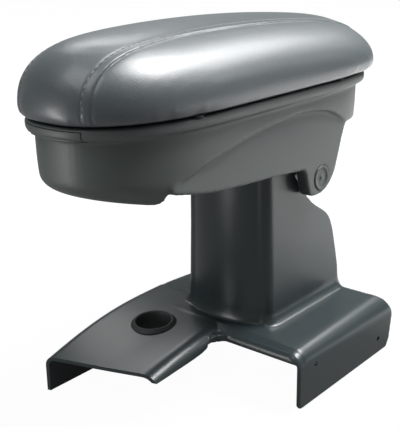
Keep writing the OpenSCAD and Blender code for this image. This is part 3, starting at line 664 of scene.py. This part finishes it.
for cuts, reach in ((1, 9.0), (1, 6.5)):
    alone(cushion)
    bpy.ops.object.mode_set(mode="EDIT")
    bpy.ops.mesh.select_mode(type="FACE")
    bpy.ops.mesh.select_all(action="DESELECT")
    net = bmesh.from_edit_mesh(cushion.data)
    for face in net.faces:
        middle = face.calc_center_median() / MM
        face.select_set(abs(abs(middle.y) - SEAM_Y + 1.5) < reach and middle.z > CUSHION["z"] + 0.8)
    net.select_flush_mode()
    bmesh.update_edit_mesh(cushion.data)
    bpy.ops.mesh.subdivide(number_cuts=cuts, smoothness=1.0)
    bpy.ops.object.mode_set(mode="OBJECT")

points = mesh_points(cushion)
normals = np.zeros(len(points) * 3)
cushion.data.vertices.foreach_get("normal", normals)
normals = normals.reshape(-1, 3)
beside = np.abs(points[:, 1]) / MM - SEAM_Y
raised = np.interp(beside, PROFILE_AT, PROFILE, 0, 0)
fade = np.clip((points[:, 2] / MM - CUSHION["z"] - 0.8) / 2.0, 0, 1)
set_points(cushion, points + normals * (raised * fade * MM)[:, None])
dress(cushion, "lid_cover", "lid", "cover_leather", replaces=("lid_cushion",))

# %% [markdown]
# Each stitch is a short length of thread, thick in the middle and dipping into the cover at both
# ends. One is modelled and copied along the stitch line, which is found by looking for the cover's
# surface with rays in the stitch line's own plane.

# %% Stitches
STITCH_PITCH, STITCH_LONG, STITCH_THICK = 5.0 * MM, 3.7 * MM, 0.42 * MM
INSIDE_Z, INSIDE_FRONT, INSIDE_REAR = 0.243, -0.09, 0.10


def surface_path(tree, y):
    """Points on the cover in the plane at y, from the front edge over the crown to the rear."""
    found = []
    for turn in np.linspace(math.radians(183), math.radians(90), 60):
        ray = Vector((math.cos(turn), 0, math.sin(turn)))
        found.append(tree.ray_cast(Vector((INSIDE_FRONT, y, INSIDE_Z)), ray))
    for x in np.linspace(-0.088, 0.098, 60):
        found.append(tree.ray_cast(Vector((x, y, INSIDE_Z)), Vector((0, 0, 1))))
    for turn in np.linspace(math.radians(90), math.radians(-3), 60):
        ray = Vector((math.cos(turn), 0, math.sin(turn)))
        found.append(tree.ray_cast(Vector((INSIDE_REAR, y, INSIDE_Z)), ray))
    return [(hit, normal) for hit, normal, _, _ in found if hit is not None]


net = bmesh.new()
net.from_mesh(cushion.data)
cover_tree = BVHTree.FromBMesh(net)
net.free()
alone()
bpy.ops.mesh.primitive_uv_sphere_add(segments=8, ring_count=6, radius=1)
stitch = bpy.context.object
bpy.ops.object.mode_set(mode="EDIT")
bpy.ops.mesh.select_all(action="SELECT")
bpy.ops.transform.resize(value=(STITCH_LONG / 2, STITCH_THICK, STITCH_THICK))
bpy.ops.object.mode_set(mode="OBJECT")
threads = []
for side in (-1, 1):
    line = surface_path(cover_tree, side * (SEAM_Y - STITCH_IN) * MM)
    spots = np.array([hit for hit, _ in line])
    along = np.concatenate(([0], np.cumsum(np.linalg.norm(np.diff(spots, axis=0), axis=1))))
    for s in np.arange(STITCH_PITCH, along[-1] - STITCH_PITCH, STITCH_PITCH):
        i = int(np.clip(np.searchsorted(along, s), 1, len(along) - 1))
        share = (s - along[i - 1]) / max(along[i] - along[i - 1], 1e-9)
        spot = Vector(spots[i - 1]).lerp(Vector(spots[i]), share)
        ahead = Vector(spots[i] - spots[i - 1]).normalized()
        out = line[i][1]
        out = (out - ahead * out.dot(ahead)).normalized()
        copy = stitch.copy()
        copy.data = stitch.data.copy()
        scene.collection.objects.link(copy)
        turn = Matrix((ahead, out.cross(ahead), out)).transposed().to_4x4()
        copy.matrix_world = Matrix.Translation(spot + out * 0.10 * MM) @ turn
        threads.append(copy)
bpy.data.objects.remove(stitch)
alone(*threads)
bpy.ops.object.join()
dress(bpy.context.object, "seam_stitches", "lid", "cover_leather", finish="thread")

# %% [markdown]
# The storage box is one moulding: a rim band all round, a tray in front that swells down like a
# boat's bow, and behind a curved step two set-back cheeks that run down into the hanging ears of
# the tilt pivot. The bow comes first. It is lofted from the outline of the lid, and the curved
# step is cut into it with a block whose lower edge is one Bezier curve.

# %% Bow and step
KEEL_FALL, KEEL_END, STEP_START = 5.0, -103.0, 0.06
STEP = [(-112, 186), (-71.3, 210.6), (62, 238.7), (108, 199)]


def step_line(shift):
    """The curved step on the side as a Bezier curve, moved inwards by the wall."""
    t = np.linspace(STEP_START, 1, 48)[:, None]
    p = np.array(STEP, float)
    curve = (1 - t) ** 3 * p[0] + 3 * (1 - t) ** 2 * t * p[1] + 3 * (1 - t) * t ** 2 * p[2] + t ** 3 * p[3]
    return curve + (-shift, shift)


def above_step(shift):
    """All the space above the step and in front of the keel's end, to cut the bow to."""
    curve = step_line(shift)
    low = TRAY_Z - KEEL_FALL - 21 - 2 * shift
    around = [(220, STEP[-1][1] + 0.5 + shift), (220, 300), (-220, 300), (-220, low),
              (KEEL_END - shift, low)]
    return prism("above_step", np.vstack((curve, around)), -120, 120)


def in_triangles(block):
    """Splits a block's faces into triangles, because its curved end can't be one flat face."""
    alone(block)
    bpy.ops.object.mode_set(mode="EDIT")
    bpy.ops.mesh.select_all(action="SELECT")
    bpy.ops.mesh.quads_convert_to_tris()
    bpy.ops.object.mode_set(mode="OBJECT")
    return block


def bow(skin):
    """The upper box and its front tray, swelling inwards below like a quarter of an ellipse."""
    rings = [inset_outline(WALL, skin, RIM_Z - 2 + (6 if skin else 0)),
             inset_outline(WALL, skin + 0.3, RIM_Z - 24), inset_outline(WALL, skin + 0.7, RIM_Z - 33)]
    for turn in np.linspace(0, np.pi / 2, 12):
        down, inward = math.sin(turn), 1 - math.cos(turn)
        level = RIM_Z - 37 - (16.5 - skin) * down
        ring = inset_outline(WALL, skin + 1 + 11 * inward, level, nose=25 * inward)
        ring[:, 2] -= KEEL_FALL * down * np.clip((ring[:, 0] + 140) / 34, 0, 1) ** 1.3
        rings.append(ring)
    whole = in_triangles(loft("bow", [ring * MM for ring in rings]))
    return combine(whole, [above_step(skin)], "INTERSECT")


box = bow(0.0)
print("bow vertices:", len(box.data.vertices))

# %% [markdown]
# Each cheek is a plate behind the step, and its lower edge runs down round the ear of the pivot.
# One profile gives both the plate and the inturned lip along that edge. The far cheek is a
# mirrored copy. The rim band is lofted from the outline, because it runs all the way round.

# %% Cheeks and rim band
CHEEK_OUT, CHEEK_IN = 52.0, 49.0
PIVOT = (75.0, 160.0)
EAR = (70.0, 176.0, 29.5)


def cheek_profile():
    """Cheek and ear from the side: lower edge, front of the ear, round the ear, and up the rear."""
    lower = [(-103, 188.5), (-98, 186.9), (-90, 185.3), (-75, 182), (-54, 179), (-25, 177), (7, 175),
             (29, 173), (46, 171.8), (50, 171), (52.5, 168), (55, 160), (57, 153), (59.5, 149.2)]
    back = [(105.5, 188), (110, 198), (111, 206), (111, 226), (-94, 226), (-94, 200), (-104, 192)]
    return np.vstack((lower, arc(*EAR, 250, 342, 24), back))


def lip_profile():
    """The same edge from the lower line's end round the ear, as a strip as thick as the wall."""
    outer = cheek_profile()[8:41]
    step = np.gradient(outer, axis=0)
    normal = np.column_stack((-step[:, 1], step[:, 0])) / np.linalg.norm(step, axis=1)[:, None]
    inner = outer + normal * SKIN
    return np.vstack((outer, inner[::-1]))


def band_block():
    """The rim band: at each depth below the rim, how far it is set in."""
    levels = [(8.5, 3.4), (8.1, 1.9), (7.2, 0.7), (5.8, 0.1), (4.5, 0), (1.7, 0), (0.8, 0.4),
              (0.2, 1.1), (0, 2.0)]
    return loft("band", [inset_outline(BAND, inset, RIM_Z - down) * MM for down, inset in levels])


def plan_block(plan, inset):
    """An upright block with the outline of the box, to cut pieces that end at its wall."""
    return loft("plan_block", [inset_outline(plan, inset, z) * MM for z in (200, 250)])


cheek = prism("cheek", cheek_profile(), -CHEEK_OUT, -CHEEK_IN)
lip = prism("lip", lip_profile(), -CHEEK_IN - 0.5, -CHEEK_OUT + 10.5)
joined = [band_block(), cheek, mirrored(cheek), lip, mirrored(lip),
          slab("nose_floor", (-101, -CHEEK_IN, WELL_FLOOR_Z), (-80, CHEEK_IN, WELL_FLOOR_Z + SKIN)),
          slab("well_block", (-94, -CHEEK_OUT, WELL_FLOOR_Z), (106, CHEEK_OUT, 229))]
print("blocks to join to the bow:", len(joined))

# %% [markdown]
# At the rear three knuckles on arms take the pin of the lid, and in front a shelf with rails on
# three sides guides the bar of the latch. The shelf is cut to the wall's outline and joined after
# the well is hollowed, so that the hollow doesn't take it away.

# %% Knuckles and latch shelf
PIN_X, PIN_Z, KNUCKLE_R = 159, 233.5, 4.8
for low_y, high_y in ((-9, 9), (22, 30), (-30, -22)):
    joined += [rod("knuckle", PIN_X, PIN_Z, KNUCKLE_R, low_y, high_y),
               slab("arm", (145.5, low_y, 228.7), (PIN_X, high_y, 235))]
SHELF_Z, SHELF_END = 226.0, -119
RAIL_Z = SHELF_Z + 6.6
shelf_parts = [slab("shelf", (-154, -30, SHELF_Z), (SHELF_END, 30, SHELF_Z + 3)),
               slab("rail", (-150, 21, SHELF_Z), (SHELF_END, 30, RAIL_Z)),
               slab("rail", (-150, -30, SHELF_Z), (SHELF_END, -21, RAIL_Z)),
               slab("rail", (-122, -22, SHELF_Z), (SHELF_END, 22, RAIL_Z))]
hollow = combine(bow(SKIN), [slab("well", (-99, -CHEEK_IN, WELL_FLOOR_Z + SKIN), (103, CHEEK_IN, 300))],
                 "UNION")
for part in shelf_parts:
    combine(part, [plan_block(WALL, 1.0)], "INTERSECT")
print("shelf vertices:", sum(len(part.data.vertices) for part in shelf_parts))

# %% [markdown]
# Now all is joined, hollowed and softened. The window for the lid's hook is cut before the remesh
# and gets soft edges from it. The tab's pocket and the slot for its bar are cut last of all, so
# that their edges stay crisp round the tab.

# %% Storage box
combine(box, joined, "UNION")
cuts = [hollow]
cuts += [slab("notch", (139.5, side * 15.5 - 6.4, 235.8), (200, side * 15.5 + 6.4, 300)) for side in (-1, 1)]
cuts += [rod("cap_seat", *PIVOT, 9.5, -70, 70)]
combine(box, cuts, "DIFFERENCE")
combine(box, shelf_parts, "UNION")
combine(box, [slab("hook_window", (-146.5, -9, 220), (-137, 9, 240))], "DIFFERENCE")
BOX_VOXEL = 1.25
soften(box, BOX_VOXEL, 5)
thin_out(box)
pocket = slab("pocket", (-175, -25.4, 228.5), (-140, 25.4, 235.9))
combine(pocket, [plan_block(WALL, 0.2)], "DIFFERENCE")
slot_cut = slab("tab_slot", (-157, -20.4, 229.0), (-146, 20.4, 232.6))
combine(box, [pocket, slot_cut], "DIFFERENCE", solver="FAST")
dress(box, "box_shell", "armrest", "box_plastic", replaces=("storage_box",))

# %% [markdown]
# The pillar is a hollow moulding as wide as the arm rest's pivot needs. Its front is bowed, its
# sides are flat, and its foot spreads out in a concave fillet that ends in a fine line.

# %% Pillar
PILLAR_TOP, PILLAR_BULGE = 180.0, 8.0
PILLAR_FRONT, PILLAR_REAR, PILLAR_HALF, PILLAR_CORNER = 16, 133, 40, 9
FOOT_LEAN, FAR_SPREAD = 4, 0.17
FILLET, FOOT_Z = 9.5, 45.0


def pillar_plan(front, rear, half, radius, bulge):
    """The plan: a bowed front, two sharper front corners and two full rear ones."""
    chord = half - radius
    bow_r = (chord ** 2 + bulge ** 2) / (2 * bulge)
    centre = front - bulge + bow_r
    lean = math.degrees(math.asin(chord / bow_r))
    return np.vstack((arc(centre, 0, bow_r, 180 + lean, 180 - lean, 28),
                      arc(front + radius, half - radius, radius, 158, 90, 10),
                      arc(rear - radius, half - radius, radius, 90, 0, 10),
                      arc(rear - radius, radius - half, radius, 0, -90, 10),
                      arc(front + radius, radius - half, radius, -90, -158, 10)))


def pillar_ring(z, skin=0.0, flare=0.0):
    """Plan at height z: towards the foot the front stands back and the far side spreads."""
    low = np.clip((176 - z) / 130, 0, 1)
    plan = pillar_plan(PILLAR_FRONT + FOOT_LEAN * low - 0.35 * flare + skin,
                       PILLAR_REAR + 0.2 * flare - skin, PILLAR_HALF + flare - skin,
                       PILLAR_CORNER + 0.6 * flare - skin, PILLAR_BULGE)
    far = plan[:, 1] > 0
    plan[far, 1] *= 1 + FAR_SPREAD * low ** 1.3
    return np.column_stack((plan, np.full(len(plan), z))) * MM


def pillar_rings():
    """A short foot, a quarter-round hollow above it, then the straight shaft."""
    rings = [pillar_ring(z, flare=FILLET) for z in (38.0, FOOT_Z)]
    for turn in np.radians(np.linspace(8, 90, 11)):
        spread = 1 - math.sin(turn)
        rings.append(pillar_ring(FOOT_Z + FILLET * 1.2 * (1 - math.cos(turn)), flare=FILLET * spread))
    return rings + [pillar_ring(z) for z in (80, 120, 186)]


REAR = [(42, PILLAR_TOP), (54, 166), (64, 153.5), (72, 144), (80, 136.5), (88, 131), (96, 126.5),
        (104, 121.5), (109, 117), (112, 111), (115.5, 103), (122, 80), (127, 60), (130.5, 44), (132, 30)]


def curved(points):
    """The line through the points in 70 even steps, with its corners smoothed away."""
    points = np.array(points, float)
    along = np.concatenate(([0], np.cumsum(np.linalg.norm(np.diff(points, axis=0), axis=1))))
    fine = np.linspace(0, along[-1], 70)
    line = np.column_stack([np.interp(fine, along, points[:, k]) for k in (0, 1)])
    for _ in range(6):
        line[1:-1] = (line[:-2] + line[1:-1] * 2 + line[2:]) / 4
    return line


def pillar_side(skin):
    """The side view, whose rear edge slopes down and back from the top."""
    rear = curved(REAR) - (skin, skin * 0.6)
    rest = [(REAR[-1][0] - skin, -20), (-60, -20), (-60, PILLAR_TOP - skin)]
    return prism("side", np.vstack((rear, rest)), -80, 80)


pillar = combine(loft("pillar", pillar_rings()), [pillar_side(0)], "INTERSECT")
pillar_core = loft("core", [pillar_ring(z, SKIN) for z in (20, 60, 120, 186)])
combine(pillar_core, [pillar_side(SKIN)], "INTERSECT")
print("pillar vertices:", len(pillar.data.vertices))

# %% [markdown]
# The adapter is a saddle over the console with a side flange left and right, and a tongue that
# runs forward on the far side and carries the socket. Both are lofted from rounded sections, once
# at full size and once smaller by the wall, for the hollow.

# %% Saddle and tongue
SADDLE_TOP, NEAR_Y, FAR_Y = 46.0, -88.0, 88.0
TONGUE_NEAR = -12.0


def section(x, near, far, top, near_r, far_r, rise, skin):
    """A cut across the adapter: up the near side, over the top and down the far side."""
    near, far, top = near + skin, far - skin, top - skin
    near_r, far_r = near_r - skin, far_r - skin
    across = np.linspace(near + near_r, far - far_r, 10)[1:-1]
    points = np.vstack(([(near, -4)], arc(near + near_r, top - near_r, near_r, 180, 90, 12),
                        np.column_stack((across, np.full(8, top))),
                        arc(far - far_r, top - far_r, far_r, 90, 0, 10), [(far, -4)]))
    lift = rise * np.clip((points[:, 0] - 30) / 50, 0, 1) ** 1.5 * (points[:, 1] > 12)
    return np.column_stack((np.full(len(points), x), points[:, 0], points[:, 1] + lift)) * MM


FRONT_ROLL = [(-6, 8.5), (-5.7, 6.6), (-4.9, 4.6), (-3.7, 3.1), (-2.1, 2.2), (-0.3, 1.8), (1.1, 1.5),
              (2.2, 0.8), (3.3, 0.2), (5, 0)]


def saddle(skin):
    """The saddle's sections; its front edge rolls down, and its near corner grows rounder."""
    stations = [(-3, 0), (5, 0)] if skin else FRONT_ROLL
    rings = []
    for x, drop in stations + [(x, 0) for x in (12, 25, 45, 70, 95, 115, 130, 145)]:
        far_rise = 2.6 * math.exp(-((x - 30) / 34) ** 2)
        near_r = 11.5 + 6.5 * np.clip((x + 6) / 130, 0, 1)
        rings.append(section(x, NEAR_Y, FAR_Y, SADDLE_TOP - drop, near_r, 7.5, far_rise, skin))
    return loft("saddle", rings)


TONGUE = [(-112, 27.0, 0.6), (-96, 30.4, 1.2), (-80, 34.6, 2.0), (-64, 38.2, 2.6), (-48, 40.9, 2.8),
          (-30, 42.6, 3.2), (-12, 44.5, 3.2), (2, 45.8, 2.8), (16, 46.2, 2.7), (30, 46.2, 2.6)]


def tongue(skin):
    """The tongue's sections, at stations that follow a smooth curve through the measured ones."""
    x = np.linspace(TONGUE[0][0], TONGUE[-1][0], 33)
    known = np.array(TONGUE)
    bent = np.polyfit(known[:, 0] / 100, known[:, 1:], 4)
    fine = np.array([(x / 100) ** (4 - k) for k in range(5)]).T @ bent
    return loft("tongue", [section(at, TONGUE_NEAR, FAR_Y, top, 14.5, 7.5, rise, skin)
                           for at, (top, rise) in zip(x, fine)])


side_view = [(-7, 5), (-5, 1.6), (-1.5, -3), (130, -3), (134, 1.8), (136.6, 6), (140.2, 27), (139.4, 33),
             (135, 41.5), (131, 44.9), (124, 47), (110, 60), (-7, 60)]
adapter = combine(saddle(0.0), [prism("side_view", side_view, -120, 120)], "INTERSECT")
print("saddle vertices:", len(adapter.data.vertices))

# %% [markdown]
# Where the tongue leaves the saddle, the near edge turns in a round inner corner, the waist. It is
# a block with a quarter of a cylinder cut out. The pillar and the tongue are then joined on, and
# the underside is hollowed, because the real moulding is a shell about 3 mm thick.

# %% Waist and hollow
WAIST_X, WAIST_Y, WAIST_R = -14.5, -22.5, 10
waist = slab("waist", (WAIST_X, WAIST_Y, 34), (-4, -9, 42.6))
alone()
bpy.ops.mesh.primitive_cylinder_add(vertices=96, radius=WAIST_R * MM, depth=0.1,
                                    location=(WAIST_X * MM, WAIST_Y * MM, 0.04))
round_cut = bpy.context.object
combine(waist, [round_cut], "DIFFERENCE")
combine(adapter, [tongue(0.0), waist, pillar], "UNION")
LIP_Z = 36
combine(adapter, [saddle(SKIN), slab("lip_cut", (-40, NEAR_Y + SKIN, -10), (-2, -12, LIP_Z)),
                  slab("lip_cut", (-20, -13, -10), (-2, FAR_Y - SKIN, LIP_Z)), tongue(SKIN), pillar_core],
        "DIFFERENCE")
print("hollowed vertices:", len(adapter.data.vertices))

# %% [markdown]
# The flange beside the tongue is trimmed to a rising line, the front is cut at a slant, and holes
# are made for the socket and the four screws. These cuts come after the remesh, because it would
# round and roughen their edges, and a trimmed moulding has clean ones.

# %% Trims and holes
FLANGE_TRIM = [(-150, -30), (-150, 24), (-79, 28), (-60, 30), (-38, 32), (-28, 33.2), (-22, 34.6),
               (-18, 36.2), (-14, 37.2), (-3, 37.2), (-3, -30)]
FRONT_TRIM = [(-104, 89), (-79, -13), (-79, -70), (-180, -70), (-180, 89)]
flange_cut = prism("flange_cut", FLANGE_TRIM, -13, 18)
front_cut = loft("front_cut", [np.array([(x, y, z) for x, y in FRONT_TRIM]) * MM for z in (-100, 100)])
holes = [rod("flange_hole", x, z, 2.1, -100, 100, 24) for x, z in ((17, 30), (116, 13))]
SLOPE = math.radians(4.46)
COLLAR = Vector((-26.0, 42.0, 42.7)) * MM
SEAT_R = 17.2
alone()
bpy.ops.mesh.primitive_cylinder_add(vertices=64, radius=SEAT_R * MM, depth=0.06, location=COLLAR,
                                    rotation=(0, -SLOPE, 0))
holes.append(bpy.context.object)
ADAPTER_VOXEL = 1.05
soften(adapter, ADAPTER_VOXEL, 4)
thin_out(adapter)
trims = [flange_cut, front_cut, slab("bracket_slot", (37, -23.5, 100), (99, 23.5, 176)),
         slab("ground", (-200, -200, -50), (200, 200, 0))]
combine(adapter, trims + holes, "DIFFERENCE", solver="MANIFOLD")
dress(adapter, "adapter_shell", "base", "adapter_plastic", replaces=("console_adapter",))

# %% [markdown]
# The latch button is a flush tab in the front of the rim band, so it is cut from the same lofted
# band as the box. Behind it a flat bar slides through the front wall and carries the hook's window.

# %% Latch tab
SLIDE_Z, SLIDE_HALF, SLIDE_END = (229.3, 232.3), 20.0, -134.1
tab = band_block()
combine(tab, [slab("front_part", (-170, -24.8, 228.9), (-128, 24.8, 235.4))], "INTERSECT")
combine(tab, [plan_block(BAND, 2.4)], "DIFFERENCE")
slide = slab("slide", (-170, -SLIDE_HALF, SLIDE_Z[0]), (SLIDE_END, SLIDE_HALF, SLIDE_Z[1]))
combine(slide, [plan_block(BAND, 1.2)], "INTERSECT")
combine(slide, [slab("window", (-148.6, -9, 220), (SLIDE_END - 7, 9, 240))], "DIFFERENCE")
combine(tab, [slide], "UNION")
bevel = tab.modifiers.new("edges", "BEVEL")
bevel.width, bevel.segments = 0.35 * MM, 3
bevel.limit_method = "ANGLE"
bevel.angle_limit = math.radians(50)
apply_all(tab)
dress(tab, "latch_tab", "latch", "box_plastic", replaces=("latch_button",))

# %% [markdown]
# A coil spring behind the bar pushes the tab back out. One round of wire is carried along a screw
# by the Screw modifier.

# %% Latch spring
spring_low, spring_high = (Vector(corner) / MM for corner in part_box("latch_spring"))
SPRING_X0, SPRING_X1 = spring_low.x, spring_high.x
SPRING_TURNS, WIRE, COIL, PRESS = 7, 0.28, 2.1, 3.0
alone()
bpy.ops.mesh.primitive_circle_add(vertices=8, radius=WIRE * MM, location=(COIL * MM, 0, 0),
                                  rotation=(math.pi / 2, 0, 0))
coil = bpy.context.object
bpy.ops.object.transform_apply(location=True, rotation=True, scale=True)
screw = coil.modifiers.new("screw", "SCREW")
screw.steps = screw.render_steps = 16
screw.iterations = SPRING_TURNS
screw.screw_offset = (SPRING_X1 - SPRING_X0 - 2 * WIRE) / SPRING_TURNS * MM
apply_all(coil)
coil.matrix_world = Matrix.Translation(Vector((SPRING_X0 + WIRE, 0, sum(SLIDE_Z) / 2)) * MM) \
    @ Matrix.Rotation(math.pi / 2, 4, "Y")
alone(coil)
bpy.ops.object.transform_apply(location=True, rotation=True, scale=True)
bpy.ops.object.mode_set(mode="EDIT")
bpy.ops.mesh.select_all(action="DESELECT")
bpy.ops.mesh.select_non_manifold()
bpy.ops.mesh.edge_face_add()
bpy.ops.mesh.select_all(action="SELECT")
bpy.ops.mesh.normals_make_consistent(inside=False)
bpy.ops.object.mode_set(mode="OBJECT")
dress(coil, "latch_coil", "armrest", "zinc_steel", replaces=("latch_spring",))
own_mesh(coil)

# %% [markdown]
# The socket collar is a turned rubber ring. Its section is drawn once, with a rounded lip and a
# shallow groove where it meets the tongue, and the spin operator carries it round.

# %% Socket collar
COLLAR_SECTION = [(14.0, -11.5), (14.6, -12.0), (16.5, -12.0), (17.0, -11.5), (17.0, -0.6), (18.4, -0.3),
                  (18.9, 0.2), (19.0, 0.8), (18.7, 1.5), (17.8, 2.1), (17.1, 2.6), (16.7, 3.2),
                  (16.1, 3.5), (15.4, 3.5), (14.9, 3.2), (14.6, 2.6), (14.4, 1.6), (14.1, 0.6)]


def spun(name, profile, axis_matrix, steps=96):
    """A ring or cap: a closed profile of radius and height, spun round its own axis."""
    alone()
    bpy.ops.mesh.primitive_circle_add(vertices=len(profile), radius=0.1, fill_type="NOTHING")
    ring = bpy.context.object
    ring.name = name
    bpy.ops.object.mode_set(mode="EDIT")
    mesh = bmesh.from_edit_mesh(ring.data)
    for vertex, (radius, height) in zip(mesh.verts, profile):
        vertex.co = (radius * MM, 0, height * MM)
    bmesh.update_edit_mesh(ring.data)
    bpy.ops.mesh.select_all(action="SELECT")
    bpy.ops.mesh.spin(steps=steps, angle=2 * math.pi, center=(0, 0, 0), axis=(0, 0, 1))
    bpy.ops.mesh.select_all(action="SELECT")
    bpy.ops.mesh.remove_doubles(threshold=0.00001)
    bpy.ops.mesh.normals_make_consistent(inside=False)
    bpy.ops.object.mode_set(mode="OBJECT")
    ring.matrix_world = axis_matrix
    bpy.ops.object.transform_apply(location=True, rotation=True, scale=True)
    return ring


collar = spun("collar", COLLAR_SECTION, Matrix.Translation(COLLAR) @ Matrix.Rotation(-SLOPE, 4, "Y"))
dress(collar, "collar_ring", "base", "black_rubber", replaces=("socket_collar",))

# %% [markdown]
# A round cap closes each end of the pivot. Its face is dished, with a rounded rim and a small
# raised dot in the middle left by the moulding tool.

# %% Pivot caps
CAP_SECTION = [(0.02, 0.5), (0.9, 0.45), (1.4, 0.1), (2.0, -0.3), (5.6, -0.5), (6.8, -0.3), (7.6, 0.2),
               (8.2, 0.55), (9.0, 0.7), (9.6, 0.5), (9.9, 0.2), (9.95, 0.02), (9.4, 0.0), (9.4, -4.0),
               (0.02, -4.0)]
for side, solid in ((-1, "pivot_cap_left"), (1, "pivot_cap_right")):
    stand = Matrix.Translation(Vector((PIVOT[0], side * CHEEK_OUT, PIVOT[1])) * MM) \
        @ Matrix.Rotation(-side * math.pi / 2, 4, "X")
    cap = spun("cap", CAP_SECTION, stand, 64)
    dress(cap, "cap_near" if side < 0 else "cap_far", "armrest", "box_plastic", replaces=(solid,))
